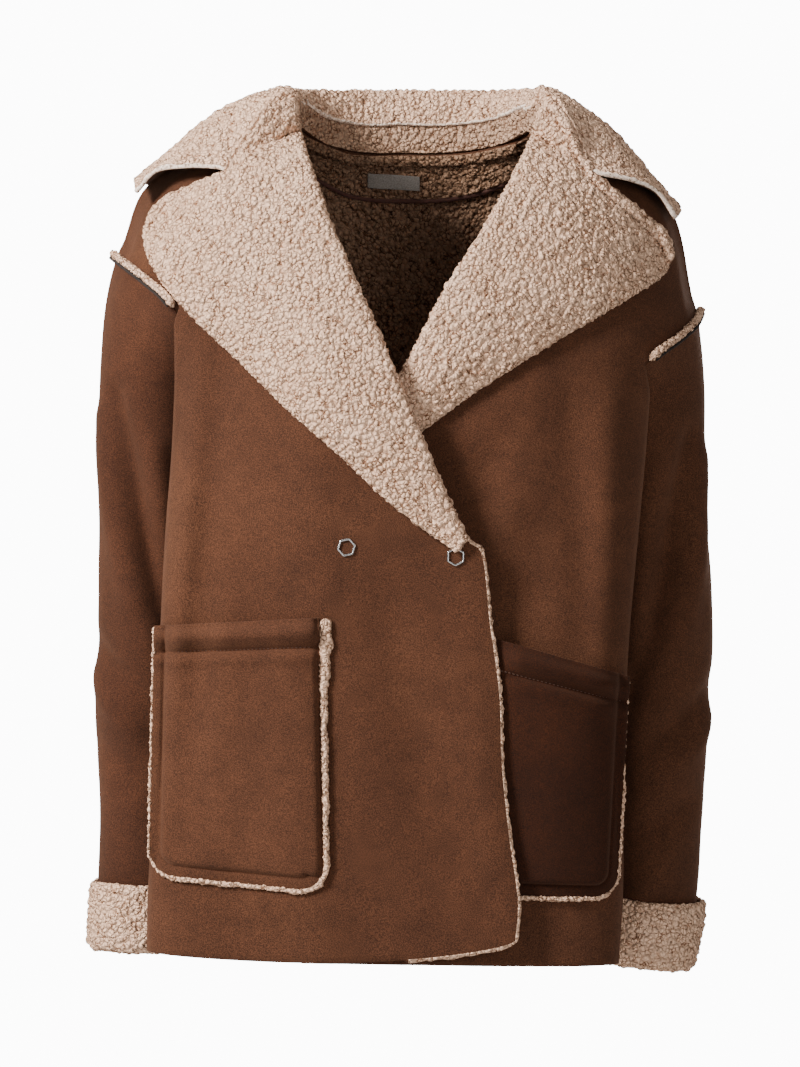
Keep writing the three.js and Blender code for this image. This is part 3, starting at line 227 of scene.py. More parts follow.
# tucked is how far the other front covers a pocket; its outer edge shows from edge_from down.
RIGHT_POCKET = dict(innerTop=(-70, -446), outerTop=(-213, -454),
                    innerBottom=(-65, -680), outerBottom=(-218, -668), tucked=-20.0, edge_from=-0.2)
LEFT_POCKET = dict(innerTop=(74, -462), outerTop=(199, -498),
                   innerBottom=(70, -684), outerBottom=(188, -688), tucked=12.0, edge_from=0.40)
POCKET_SEAT = 3.5           # how far a sewn-down pocket's cloth is from the front's
POCKET_BAG = 12.0           # the same in the middle of its open top
POCKET_TURN = 0.97          # share of the half width past which a pocket doesn't follow the turn


# ---- Small tools ----
def mix(a, b, t):
    return a + (b - a) * t


def ease(t):
    t = np.clip(t, 0, 1)
    return t * t * (3 - 2 * t)


def unit(v):
    """Vectors of length one along the last axis."""
    return v / np.maximum(np.linalg.norm(v, axis=-1, keepdims=True), 1e-9)


def curve(keys, values, at):
    """A smooth curve through values, which may be numbers or points, at rising keys."""
    keys = np.asarray(keys, float)
    values = np.asarray(values, float)
    at = np.asarray(at, float)
    last = len(keys) - 1
    low = np.maximum(np.arange(last + 1) - 1, 0)
    high = np.minimum(np.arange(last + 1) + 1, last)
    shape = (-1,) + (1,) * (values.ndim - 1)
    slopes = (values[high] - values[low]) / (keys[high] - keys[low]).reshape(shape)
    i = np.clip(np.searchsorted(keys, at, side="left") - 1, 0, last - 1)
    span = keys[i + 1] - keys[i]
    t = np.clip((at - keys[i]) / span, 0, 1)
    extra = (1,) * (values.ndim - 1)
    t, span = t.reshape(at.shape + extra), span.reshape(at.shape + extra)
    rise = values[i + 1] - values[i]
    bend = t * (1 - t) * ((1 - t) * (slopes[i] * span - rise) + t * (rise - slopes[i + 1] * span))
    return values[i] + rise * t + bend


def cornered(line, corner, at):
    """A line through even steps that is smooth but for a corner at one of them."""
    keys = np.linspace(0, 1, len(line))
    before = curve(keys[:corner + 1], line[:corner + 1], at)
    after = curve(keys[corner:], line[corner:], at)
    return np.where((at <= keys[corner])[:, None], before, after)


def column(rows, key, at, name):
    return curve(rows[key], rows[name], at)


def hill(at, middle, wide):
    """A soft rise to one."""
    return np.exp(-((at - middle) / wide) ** 2)


def round_shares(count, whole=1):
    """Even shares of the whole way round, of which the last isn't the first again."""
    return np.linspace(0, whole, count + 1)[:-1]


def round_angles(count):
    return round_shares(count, 2 * np.pi)


def on_drum(share, radius, height):
    """Places on an upright drum, at which noise round a sleeve is taken."""
    angle = 2 * np.pi * share
    return np.stack([radius * np.cos(angle), radius * np.sin(angle), np.full_like(share, height)],
                    axis=1)


def ring_closed(grid):
    """A grid whose rows are rings, with each row's first point once more at its end."""
    return np.concatenate([grid, grid[:, :1]], axis=1)


def run_of(points):
    """How far along a line each of its points is."""
    return np.concatenate([[0], np.cumsum(np.linalg.norm(np.diff(points, axis=0), axis=1))])


def by_length(points):
    """Shares of the length at which a line's points lie."""
    run = run_of(points)
    return run / run[-1]


def even(points_at, low, high, spacing, trial=60):
    """Values from low to high at which points_at gives points about a spacing apart."""
    trials = np.linspace(low, high, trial)
    run = run_of(np.array([points_at(v) for v in trials]))
    count = max(2, int(round(run[-1] / spacing)) + 1)
    return np.interp(np.linspace(0, run[-1], count), run, trials)


def hashed(cells, seed):
    """A repeatable number from 0 to 1 for each whole-numbered cell."""
    cells = cells.astype(np.int64)
    h = cells[..., 0] * 374761393 + cells[..., 1] * 668265263 + cells[..., 2] * 2147483647
    h = (h + seed * 1274126177) & 0xFFFFFFFF
    h = ((h ^ (h >> 13)) * 1274126177) & 0xFFFFFFFF
    return ((h ^ (h >> 16)) & 0xFFFFFF) / float(0x1000000)


def noise(points, size, seed):
    """Smooth noise from -1 to 1 with features of a given size."""
    p = points / size
    base = np.floor(p)
    t = ease(p - base)
    total = np.zeros(points.shape[:-1])
    for corner in np.ndindex(2, 2, 2):
        weight = np.prod(np.where(np.array(corner) == 1, t, 1 - t), axis=-1)
        total += weight * hashed(base + np.array(corner), seed)
    return 2 * total - 1


def cells(points, size, seed):
    """Distances to the nearest and the second nearest of scattered centres, and the nearest's number."""
    p = points / size
    base = np.floor(p)
    first = np.full(points.shape[:-1], 9.0)
    second = np.full(points.shape[:-1], 9.0)
    number = np.zeros(points.shape[:-1])
    for step in np.ndindex(3, 3, 3):
        cell = base + np.array(step) - 1
        centre = cell + np.stack([hashed(cell, seed + k) for k in (1, 2, 3)], axis=-1)
        away = np.linalg.norm(p - centre, axis=-1)
        nearer = away < first
        second = np.where(nearer, first, np.minimum(second, away))
        number = np.where(nearer, hashed(cell, seed + 4), number)
        first = np.where(nearer, away, first)
    return first, second, number


# ---- The form the cloth hangs in ----
# Drape folds of the front by their two ends: how wide and how proud each is. A negative height
# is a trough.
FRONT_FOLDS = table("x0 z0 x1 z1 wide high", [
    (-150, -170, -186, -640, 17, -5.0),
    (-176, -230, -196, -520, 12, 3.8),
    (-128, -330, -70, -420, 26, 2.8),
    (-60, -420, -20, -560, 30, 2.5),
    (-10, -430, 30, -640, 24, -3.0),
    (60, -470, 92, -700, 20, 3.0),
    (-190, -700, -120, -735, 16, 2.2),
    (150, -210, 120, -420, 26, -3.8),
    (185, -260, 176, -520, 15, 4.0),
    (150, -260, 160, -460, 16, -3.5),
    (120, -330, 60, -400, 20, 2.8),
    (96, -280, 54, -350, 16, -2.5),
    (110, -700, 170, -745, 18, 2.5),
])
BACK_FOLDS = table("x0 z0 x1 z1 wide high", [
    (-150, -170, -176, -600, 20, -4.0),
    (-172, -260, -190, -560, 13, 2.6),
    (-60, -150, -88, -560, 30, 2.4),
    (6, -180, -10, -700, 26, -2.6),
    (70, -170, 96, -520, 30, 2.6),
    (160, -200, 178, -640, 20, -4.0),
    (184, -300, 196, -560, 13, 2.6),
    (-120, -110, 110, -116, 18, 1.6),
    (-130, -560, -110, -745, 24, 2.6),
    (110, -600, 128, -745, 22, -2.4),
])


def fold_heights(folds, x, z):
    """How far the listed folds stand out of a surface: soft lines that fade at both ends."""
    total = np.zeros(np.broadcast(x, z).shape)
    for x0, z0, x1, z1, wide, high in zip(*folds.values()):
        dx, dz = x1 - x0, z1 - z0
        length2 = dx * dx + dz * dz
        t = np.clip(((x - x0) * dx + (z - z0) * dz) / length2, 0, 1)
        away2 = (x - x0 - dx * t) ** 2 + (z - z0 - dz * t) ** 2
        fade = 0.35 + 0.65 * np.sin(np.pi * (0.12 + 0.76 * t))
        total += high * fade * np.exp(-away2 / (wide * wide))
    return total


def swells(x, z, seed):
    """The small unevenness of thick cloth that hangs."""
    flat = np.stack(np.broadcast_arrays(x, z * 0.6, 0.0 * x), axis=-1).astype(float)
    return 1.1 * noise(flat, 74, seed) + 0.5 * noise(flat, 33, seed + 9)


def slope_z(x):
    right = column(RIGHT_SLOPE, "x", np.abs(x), "z")
    left = column(LEFT_SLOPE, "x", np.abs(x), "z")
    return np.where(x < 0, right, left)


def fill(x, z, depth, right_width, left_width):
    """How far the form has filled out from the shoulder ridge."""
    below = np.maximum(0, slope_z(x) - z)
    width = np.where(x < 0, column(GIRTH, "z", z, right_width), column(GIRTH, "z", z, left_width))
    turn = column(GIRTH, "z", z, "turn")
    across = np.minimum(1, np.abs(x) / width)
    share = 1 - turn + turn * np.sqrt(1 - across ** EDGE_POWER)
    return depth * share * (1 - np.exp(-((below / DEPTH_RATE) ** 0.6)))


FOLDS_GROWN = 110.0         # depth below the shoulders at which the folds are full
FOLDS_END = 225.0           # how far out the folds end, and the width over which they fade
FOLDS_FADE = 22.0


def settled(x, z):
    """Folds grow in below the shoulders and fade towards the turn beside the sleeve."""
    return ease((slope_z(x) - z) / FOLDS_GROWN) * ease((FOLDS_END - np.abs(x)) / FOLDS_FADE)


def left_front_y(x, z):
    drape = (fold_heights(FRONT_FOLDS, x, z) + swells(x, z, 5)) * settled(x, z)
    return RIDGE_Y - fill(x, z, FRONT_DEPTH, "right", "left") - drape


def right_front_y(x, z):
    lap = column(LAP, "z", z, "out") * ease((x - LAP_FROM) / (LAP_FULL - LAP_FROM))
    return left_front_y(x, z) - lap


def back_y(x, z):
    drape = (fold_heights(BACK_FOLDS, x, z) + swells(x, z, 31)) * settled(x, z)
    return RIDGE_Y + fill(x, z, BACK_DEPTH, "backRight", "backLeft") + drape


class Side:
    """One side of the coat, with its tables and surfaces. hem_sag is how far the hem sags."""

    def __init__(self, name, sign, rows, ridge, y, edge, top, gorge, leaf, sleeve, hem_sag):
        self.name = name
        self.sign = sign
        self.rows = rows
        self.ridge = ridge
        self.ridge_share = by_length(ridge)
        self.y = y
        self.edge = edge
        self.top = top
        self.gorge = gorge
        self.leaf = leaf
        self.sleeve = sleeve
        self.hem_sag = hem_sag
        self.back_x = name + "X"
        self.front_side = self.side_points(rows["sideY"], left_front_y)
        self.back_side = self.side_points(BACK_ROWS["sideY"], back_y)

    def side_points(self, y, surface):
        """A panel's side seam and armhole, by row."""
        x, z = self.rows["sideX"], self.rows["sideZ"]
        return np.stack([x, np.where(np.isnan(y), surface(x, z), y), z], axis=1)

    def pick(self, v, name):
        return column(self.rows, "row", v, name)

    def along_ridge(self, t):
        return curve(self.ridge_share, self.ridge, t)

    def edge_at(self, v):
        """The place across and up of the lapel's outer edge."""
        return curve(np.arange(BREAK, LAST + 1), self.edge, v)

    def front_side_at(self, v):
        return curve(np.arange(LAST + 1), self.front_side, v)

    def back_side_at(self, v):
        return curve(np.arange(LAST + 1), self.back_side, v)


RIGHT = Side("right", -1, RIGHT_ROWS, RIGHT_RIDGE, right_front_y, RIGHT_LAPEL_EDGE, RIGHT_ROLL_TOP,
             RIGHT_GORGE, RIGHT_LEAF, RIGHT_SLEEVE, hem_sag=12.5)
LEFT = Side("left", 1, LEFT_ROWS, LEFT_RIDGE, left_front_y, LEFT_LAPEL_EDGE, LEFT_ROLL_TOP,
            LEFT_GORGE, LEFT_LEAF, LEFT_SLEEVE, hem_sag=0.0)


# ---- Rows of the panels ----
ROLL_START = 4.2            # radius of the lapel's roll where it starts
NECK_ACROSS = 0.44          # share of the half back at which the neck point's column runs below
BACK_FOLD_LOW = 0.5         # the back's fold lies this share of the way down to the side seam
BACK_FOLD_HIGH = 0.3        # the same above the underarm


def shoulder_share(v):
    """How far a row has come to follow the shoulder, from 0 at the underarm to 1."""
    return float(ease((v - UNDERARM - 1) / (LAST - UNDERARM - 1)))


def roll_radius(v):
    return mix(ROLL_START, ROLL, float(ease((v - BREAK) / 2)))


def roll_point(side, v):
    """The line on which a lapel turns, which goes on above the neck seam."""
    if v <= NECK:
        x, z = side.pick(v, "innerX"), side.pick(v, "innerZ")
        return np.array([x, float(side.y(x, z)), z])
    line = np.vstack([roll_point(side, NECK), side.top])
    at = v - NECK
    low = min(int(at), 1)
    return mix(line[low], line[low + 1], at - low)


def roll_out(side, v):
    """The direction in which the roll leaves the front."""
    a = roll_point(side, max(BREAK, v - 1))
    b = roll_point(side, min(LAST, v + 1))
    return unit(np.array([b[2] - a[2], 0, a[0] - b[0]])) * -side.sign


def inner_point(side, v):
    """The innermost point of the front's own surface in a row."""
    if v <= NECK:
        p = roll_point(side, v)
    else:
        p = np.array([side.pick(v, "innerX"), 0, side.pick(v, "innerZ")])
    if BREAK <= v <= NECK:
        p = p - roll_out(side, v) * roll_radius(v)
    p[1] = side.y(p[0], p[2])
    return p


def bezier(a, b, c, d, count):
    """Points of a cubic curve from a to d, without a itself."""
    t = np.linspace(0, 1, count + 1)[1:, None]
    return (1 - t) ** 3 * a + 3 * t * (1 - t) ** 2 * b + 3 * t * t * (1 - t) * c + t ** 3 * d


def round_turn(end, before, side_point, side_way, count):
    """A turn from the fold beside the sleeve round to the side seam."""
    way = unit(end - before)
    reach = np.linalg.norm(side_point - end)
    a = end + way * reach * TURN_START
    b = side_point - side_way * reach * TURN_END
    return bezier(end, a, b, side_point, count)


def side_way(start, side_point, v, deep):
    """The way a panel's turn runs into the side seam. deep is 1 for a front and -1 for the back."""
    along = unit(side_point - start)
    return unit(mix(np.array([0.0, deep, 0.0]), along, float(ease((v - UNDERARM) / 3))))


CHORD_AT = 1 - (1 / 7) ** 1.25   # where the CAD model's last step before the fold starts


def panel_points(side, v, start, fold, t, surface):
    """Points across a panel, from its start to the fold, following the shoulder in upper rows."""
    k = shoulder_share(v)
    bow = side.along_ridge(t) - mix(side.ridge[0], side.ridge[-1], t[:, None])
    x = mix(start[0], fold[0], t) + k * bow[:, 0]
    z = mix(start[1], fold[1], t) + k * bow[:, 1]
    z = z - side.hem_sag * np.sin(np.pi * t ** 0.75) ** 0.8 * max(0.0, 1 - v)
    seam = max(0.0, v - (LAST - 1))
    return np.stack([x, mix(surface(x, z), RIDGE_Y, seam), z], axis=1)


def front_row(side, v, across, round_count):
    start = inner_point(side, v)[[0, 2]]
    fold = np.array([side.pick(v, "foldX"), side.pick(v, "foldZ")])
    t = np.concatenate([np.linspace(0, 1, across + 1), [CHORD_AT]])
    points = panel_points(side, v, start, fold, t, side.y)
    points, before = points[:-1], points[-1]
    end = side.front_side_at(v)
    turn = round_turn(points[-1], before, end, side_way(points[-1], end, v, 1), round_count)
    return np.vstack([points, turn])


def back_half_row(side, v, neck_count, across, round_count):
    """Half a row of the back: from its centre, past the neck point, to the side seam."""
    k = shoulder_share(v)
    centre_z = column(BACK_ROWS, "row", v, "centreZ")
    fold_x = column(BACK_ROWS, "row", v, side.back_x)
    fold_z = side.pick(v, "foldZ")
    low = mix(BACK_FOLD_LOW, BACK_FOLD_HIGH, float(ease(v - UNDERARM + 0.5)))
    fold_z = mix(mix(fold_z, side.pick(v, "sideZ"), low), fold_z, k)
    neck_x = mix(fold_x * NECK_ACROSS, side.ridge[0, 0], k)
    neck_z = mix(mix(centre_z, fold_z, NECK_ACROSS), side.ridge[0, 1], k)
    t = np.linspace(0, 1, neck_count + 1)
    drop = (column(BACK_NECK, "x", t, "z") - BACK_NECK_Z) / (BACK_NECK["z"][-1] - BACK_NECK_Z)
    curved = mix(BACK_NECK_Z, side.ridge[0, 1], drop)
    x = neck_x * t
    z = mix(mix(centre_z, neck_z, t), curved, k)
    neck = np.stack([x, back_y(x, z), z], axis=1)
    t = np.concatenate([np.linspace(0, 1, across + 1)[1:], [CHORD_AT]])
    points = panel_points(side, v, (neck_x, neck_z), (fold_x, fold_z), t, back_y)
    points, before = points[:-1], points[-1]
    end = side.back_side_at(v)
    turn = round_turn(points[-1], before, end, side_way(points[-1], end, v, -1), round_count)
    return np.vstack([neck, points, turn])


def back_row(v, neck_count, across, round_count):
    """A row of the back, from the right side seam to the left one."""
    right = back_half_row(RIGHT, v, neck_count, across, round_count)
    left = back_half_row(LEFT, v, neck_count, across, round_count)
    return np.vstack([right[::-1], left[1:]])


def gorge_at(side, t):
    """The lapel's top line: the gorge down to the notch, then the lapel's own edge."""
    return cornered(np.vstack([side.top[-1][[0, 2]], side.gorge]), GORGE_STEPS, t)


def lapel_row(side, v, arc_count, leaf_count):
    """One row of a lapel: round the roll and out to the edge. The last row is the gorge."""
    roll = roll_point(side, v)
    out = roll_out(side, v)
    radius = roll_radius(v)
    centre = roll - out * radius
    base = side.y(centre[0], centre[2])
    base = mix(base, roll[1], float(ease((v - NECK) * 2)))
    angle = np.linspace(0, np.pi, arc_count + 1)
    arc = centre + out * (radius * np.sin(angle))[:, None]
    arc[:, 1] = base - radius + radius * np.cos(angle)
    start = arc[-1]
    edge = side.edge_at(v)
    t = np.linspace(0, 1, leaf_count + 1)[1:]
    k = ((v - BREAK) / (LAST - BREAK)) ** 3
    bow = gorge_at(side, t) - mix(side.top[-1][[0, 2]], side.edge[-1], t[:, None])
    x = mix(start[0], edge[0], t) + k * bow[:, 0]
    z = mix(start[2], edge[1], t) + k * bow[:, 1]
    puff = LAPEL_PUFF * np.sin(np.pi * t) * float(ease((v - BREAK) / 3))
    lift = mix(2 * radius, LAPEL_EDGE_LIFT, t) + puff
    stand = mix(base, -NECK_STAND, np.minimum(1, t * 4))
    y = np.minimum(side.y(x, z), stand) - lift
    return np.vstack([arc, np.stack([x, y, z], axis=1)])


# ---- Pile and shells ----
def pile(points, seed, size=CURL):
    """Height of the pile's curls from 0 to about 1, and a value for painted shade: how far each point is
    out of the cracks and up on its curl.
    """
    wander = np.stack([noise(points, size * 1.5, seed + k) for k in (11, 12, 13)], axis=1)
    first, second, number = cells(points + wander * size * 0.34, size, seed)
    out_of_crack = ease((second - first) / 0.36)
    dome = 1 - np.clip(first / 0.8, 0, 1) ** 2
    high = (0.3 + 0.7 * dome) * (0.25 + 0.75 * out_of_crack) * mix(0.7, 1.2, number)
    return high, out_of_crack * (0.45 + 0.55 * dome)


def quads_of(shape, start, flipped):
    """Quads of a grid of points that are numbered from start."""
    number = start + np.arange(shape[0] * shape[1]).reshape(shape[:2])
    a, b = number[:-1, :-1].ravel(), number[:-1, 1:].ravel()
    c, d = number[1:, 1:].ravel(), number[1:, :-1].ravel()
    return np.stack([a, d, c, b] if flipped else [a, b, c, d], axis=1)


PLACES = 50                 # points meet when they agree to this fraction of a millimetre


def whole_places(points):
    return np.round(points * PLACES).astype(np.int64)


def weld(grids):
    """Points and quads of several grids, with the points that meet made one."""
    start, quads = 0, []
    for points, flipped in grids:
        quads.append(quads_of(points.shape, start, flipped))
        start += points.shape[0] * points.shape[1]
    points = np.vstack([points.reshape(-1, 3) for points, _ in grids])
    quads = np.vstack(quads)
    _, first, number = np.unique(whole_places(points), axis=0, return_index=True, return_inverse=True)
    return points[first], number.ravel()[quads]


def vertex_normals(points, quads):
    """Normals of a mesh at its points, where larger quads count for more."""
    a, b, c, d = (points[quads[:, k]] for k in range(4))
    face = np.cross(c - a, d - b)
    total = np.zeros_like(points)
    for k in range(4):
        np.add.at(total, quads[:, k], face)
    return unit(total)


def open_edges(quads):
    """Directed edges that have no other quad beside them."""
    a = quads.ravel()
    b = np.roll(quads, -1, axis=1).ravel()
    real = a != b
    a, b = a[real], b[real]
    size = int(quads.max()) + 1
    here = a.astype(np.int64) * size + b
    there = b.astype(np.int64) * size + a
    alone = ~np.isin(here, there)
    return a[alone], b[alone]


def mesh_object(name, points, quads, face_kind, materials, values=None):
    """A smooth mesh in metres. face_kind picks each quad's material, and values are for each point."""
    tri = quads[:, 3] == quads[:, 0]
    faces = [q[:3] if t else q for q, t in zip(quads.tolist(), tri)]
    mesh = bpy.data.meshes.new(name)
    mesh.from_pydata((points * MM).tolist(), [], faces)
    for material in materials:
        mesh.materials.append(material)
    mesh.polygons.foreach_set("material_index", np.asarray(face_kind, np.int32))
    mesh.polygons.foreach_set("use_smooth", np.ones(len(mesh.polygons), bool))
    for label, numbers in (values or {}).items():
        layer = mesh.attributes.new(label, "FLOAT", "POINT")
        layer.data.foreach_set("value", np.asarray(numbers, np.float32))
    mesh.update()
    obj = bpy.data.objects.new(name, mesh)
    bpy.context.scene.collection.objects.link(obj)
    return obj


PILE_KINDS = ("pile", "inside", "flattened")
PILE_HIGH = 2.3             # height of the curls
HIDDEN_HIGH = 0.1           # share of that height where the pile faces the wearer
RIM_ANGLES = np.radians([30, 65, 100, 140])
RIM_CURL = 0.72             # size of the rim's curls as a share of the others
RIM_SEED = 7
SEWN_REACH = 0.12           # how far the rim stands out where it is sewn down, as a share


def face_heights(points, kind, seed, high):
    """How far a face of a shell stands out, and the shade value of its points."""
    if kind in PILE_KINDS:
        heights, shade = pile(points, seed)
        return heights * high, shade
    return np.zeros(len(points)), np.ones(len(points))


def among(points, others):
    """Which points lie where one of the others lies, if there are any others."""
    if others is None:
        return np.zeros(len(points), bool)
    keys = []
    for place in (whole_places(points), whole_places(others)):
        keys.append((place[:, 0] * 73856093) ^ (place[:, 1] * 19349663) ^ (place[:, 2] * 83492791))
    return np.isin(*keys)


def out_of_edge(points, normals, start, end):
    """The way out past the open edges at each point, not yet of length one."""
    along = points[end] - points[start]
    away = np.zeros_like(points)
    for at in (start, end):
        np.add.at(away, at, np.cross(along, normals[at]))
    return away


def rim_rings(top, foot, away, reach_share, rim, rim_out):
    """Rings of points that round off a rim from its outer face to its inner one, and their shades."""
    rings, shades = [], []
    for angle in RIM_ANGLES:
        reach = rim_out * math.sin(angle) ** 0.7 * reach_share
        ring = (top + foot) / 2 + (top - foot) / 2 * math.cos(angle) + away * reach[:, None]
        shade = np.ones(len(ring))
        if rim == "pile":
            curls, shade = pile(ring, RIM_SEED, CURL * RIM_CURL)
            ring = ring + away * (curls * rim_out * 0.9 * math.sin(angle) * reach_share)[:, None]
        rings.append(ring)
        shades.append(shade)
    return rings, shades


def shell(name, grids, thickness, outer, inner, rim="pile", rim_out=1.6, high=PILE_HIGH, seed=3,
          seams=None, sewn_kind="suede", hidden=None):
    """A closed thin shell about welded grids. outer, inner and rim name the materials.

    seams are points of the rim that are sewn down, where the edge is plain, of sewn_kind.
    hidden are points behind which the inner pile lies nearly flat."""
    points, quads = weld(grids)
    normals = vertex_normals(points, quads)
    count = len(points)
    outer_high, outer_shade = face_heights(points, outer, seed, high)
    inner_high, inner_shade = face_heights(points, inner, seed + 50, high)
    inner_high = np.where(among(points, hidden), HIDDEN_HIGH * inner_high, inner_high)
    top = points + normals * (thickness / 2 + outer_high)[:, None]
    foot = points - normals * (thickness / 2 + inner_high)[:, None]

    start, end = open_edges(quads)
    edge = np.unique(np.concatenate([start, end]))
    away = unit(out_of_edge(points, normals, start, end)[edge])
    sewn = among(points[edge], seams)
    rings, ring_shades = rim_rings(top[edge], foot[edge], away, np.where(sewn, SEWN_REACH, 1.0), rim,
                                   rim_out)
    place = np.full(count, -1)
    place[edge] = np.arange(len(edge))

    def round_rim(at):
        """Numbers of the points from the outer face over each ring to the inner face."""
        between = [2 * count + k * len(edge) + place[at] for k in range(len(rings))]
        return [at, *between, at + count]

    near, far = round_rim(start), round_rim(end)
    steps = range(len(rings) + 1)
    rim_quads = np.vstack([np.stack([far[k], near[k], near[k + 1], far[k + 1]], axis=1) for k in steps])
    used = sorted({outer, inner, rim, sewn_kind})
    rim_kind = np.where(sewn[place[start]], used.index(sewn_kind), used.index(rim))
    kinds = np.concatenate([np.full(len(quads), used.index(outer)),
                            np.full(len(quads), used.index(inner)), np.tile(rim_kind, len(steps))])
    return mesh_object(name, np.vstack([top, foot, *rings]),
                       np.vstack([quads, quads[:, ::-1] + count, rim_quads]), kinds,
                       [MATERIALS[n] for n in used],
                       {"curl": np.concatenate([outer_shade, inner_shade, *ring_shades])})


# ---- Materials ----
def put(tree, socket, value):
    """Gives a socket a value, or links it when the value is another node's socket."""
    if isinstance(value, bpy.types.NodeSocket):
        tree.links.new(value, socket)
    else:
        socket.default_value = value


def node(tree, kind, inputs, **settings):
    """A new node with its settings, and values or links for its inputs."""
    made = tree.nodes.new(kind)
    for name, value in settings.items():
        setattr(made, name, value)
    for name, value in inputs.items():
        put(tree, made.inputs[name], value)
    return made


def new_material(name):
    material = bpy.data.materials.new(name)
    material.use_nodes = True
    return material, material.node_tree


def set_shader(tree, inputs):
    """Values or links for the material's own shader."""
    for name, value in inputs.items():
        put(tree, tree.nodes["Principled BSDF"].inputs[name], value)


def texture_place(tree):
    return node(tree, "ShaderNodeTexCoord", {}).outputs["Object"]


def noise_node(tree, place, scale, detail=3.0, roughness=0.55, distortion=0.0):
    return node(tree, "ShaderNodeTexNoise", {
        "Scale": scale, "Detail": detail, "Roughness": roughness, "Distortion": distortion,
        "Vector": place}).outputs["Fac"]


def ramp_node(tree, value, stops):
    ramp = node(tree, "ShaderNodeValToRGB", {"Fac": value})
    elements = ramp.color_ramp.elements
    while len(elements) < len(stops):
        elements.new(0.5)
    for element, (at, colour) in zip(elements, stops):
        element.position = at
        element.color = (*colour, 1)
    return ramp.outputs["Color"]


def mix_colours(tree, a, b, share, blend="MIX"):
    """Mixes two colour outputs. share is a number or a value output."""
    return node(tree, "ShaderNodeMix", {"Factor": share, "A": a, "B": b},
                data_type="RGBA", blend_type=blend).outputs["Result"]


def shaded(tree, base, value, stops):
    """A colour that is multiplied by a ramp's."""
    return mix_colours(tree, base, ramp_node(tree, value, stops), 1.0, "MULTIPLY")


def bump_node(tree, height, strength, distance, before=None):
    inputs = {"Strength": strength, "Distance": distance, "Height": height}
    if before is not None:
        inputs["Normal"] = before
    return node(tree, "ShaderNodeBump", inputs).outputs["Normal"]


def mottled_material(name, scale, detail, stops, **values):
    """A material whose colour follows one noise pattern, which is returned too."""
    material, tree = new_material(name)
    marks = noise_node(tree, texture_place(tree), scale, detail)
    set_shader(tree, {"Base Color": ramp_node(tree, marks, stops), **values})
    return material, tree, marks


def grey(level):
    return (level, level, level)


# Tones of the suede: the plain one is the suede's own, and the darker copies carry painted shade, on the
# left pocket and on the right sleeve.
PLAIN_NAP = (0.92, 0.96, 1.01)
POCKET_SHADE = (0.36, 0.25, 0.13)
SLEEVE_SHADE = (0.70, 0.66, 0.64)
SUEDE_TONES = [(0.059, 0.0205, 0.0086), (0.074, 0.0262, 0.0112), (0.092, 0.034, 0.0150)]


def suede(name, shade):
    """Napped faux suede: broad soft marks, finer mottling and a short brushed nap."""
    material, tree = new_material(name)
    tones = [tuple(np.multiply(shade, tone)) for tone in SUEDE_TONES]
    place = texture_place(tree)
    broad = noise_node(tree, place, 9.0, 4.0, 0.6, 0.6)
    mottle = noise_node(tree, place, 60.0, 2.0, 0.5, 0.3)
    grain = noise_node(tree, place, 1150.0, 1.0, 0.7)
    base = ramp_node(tree, broad, list(zip((0.3, 0.52, 0.78), tones)))
    base = shaded(tree, base, mottle, [(0.35, grey(0.92)), (0.65, grey(1.07))])
    base = shaded(tree, base, grain, [(0.36, grey(0.50)), (0.66, grey(1.55))])
    nap = bump_node(tree, grain, 0.5, 0.0007)
    set_shader(tree, {
        "Base Color": base, "Roughness": 0.92, "Specular IOR Level": 0.2,
        "Sheen Weight": 0.16, "Sheen Roughness": 0.45, "Sheen Tint": (0.85, 0.45, 0.27, 1),
        "Normal": bump_node(tree, mottle, 0.25, 0.0012, nap)})
    return material


# Colours of the pile: painted shade in and beside the gaps between curls, then low on the curls, where the
# darker tone is painted shade, and high on them.
GAP_DARK = (0.13, 0.08, 0.055)
GAP_SIDE = (0.38, 0.29, 0.235)
PILE_DEEP = (0.70, 0.435, 0.29)
PILE_TOP = (0.92, 0.605, 0.42)
# A darker copy of the pile with painted shade, for the inside of the back and sleeves and for the neck
# facing.
SHADED_INSIDE_DEEP = (0.125, 0.068, 0.038)
SHADED_INSIDE_TOP = (0.28, 0.17, 0.108)
# A darker copy of the pile with painted shade, for the collar stand.
SHADED_STAND_DEEP = (0.42, 0.26, 0.17)
SHADED_STAND_TOP = (0.56, 0.36, 0.245)
CURL_SCALE = 250.0          # curls to a metre in the finer pattern


def wandering(tree, place, scale, amount):
    """A place that strays a little, so that a pattern on it isn't regular."""
    stray = node(tree, "ShaderNodeTexNoise", {"Scale": scale, "Detail": 2.0, "Vector": place})
    centred = node(tree, "ShaderNodeVectorMath", {0: stray.outputs["Color"], 1: (0.5, 0.5, 0.5)},
                   operation="SUBTRACT")
    moved = {0: centred.outputs["Vector"], 1: (amount, amount, amount), 2: place}
    return node(tree, "ShaderNodeVectorMath", moved, operation="MULTIPLY_ADD").outputs["Vector"]


def curl_pattern(tree, place, feature):
    return node(tree, "ShaderNodeTexVoronoi", {"Scale": CURL_SCALE, "Vector": place},
                feature=feature).outputs["Distance"]


def gap_shades(tree, place, strayed):
    """Painted shade in short thin gaps between curls, which comes and goes in patches."""
    edges = curl_pattern(tree, strayed, "DISTANCE_TO_EDGE")
    gap = ramp_node(tree, edges, [(0.0, GAP_DARK), (0.035, GAP_SIDE), (0.10, grey(0.94)),
                                  (0.2, grey(1.0))])
    patchy = noise_node(tree, place, 150.0, 1.0)
    where = ramp_node(tree, patchy, [(0.40, grey(0.15)), (0.58, grey(1.0))])
    plain = node(tree, "ShaderNodeRGB", {})
    plain.outputs[0].default_value = (1, 1, 1, 1)
    return mix_colours(tree, plain.outputs[0], gap, where)


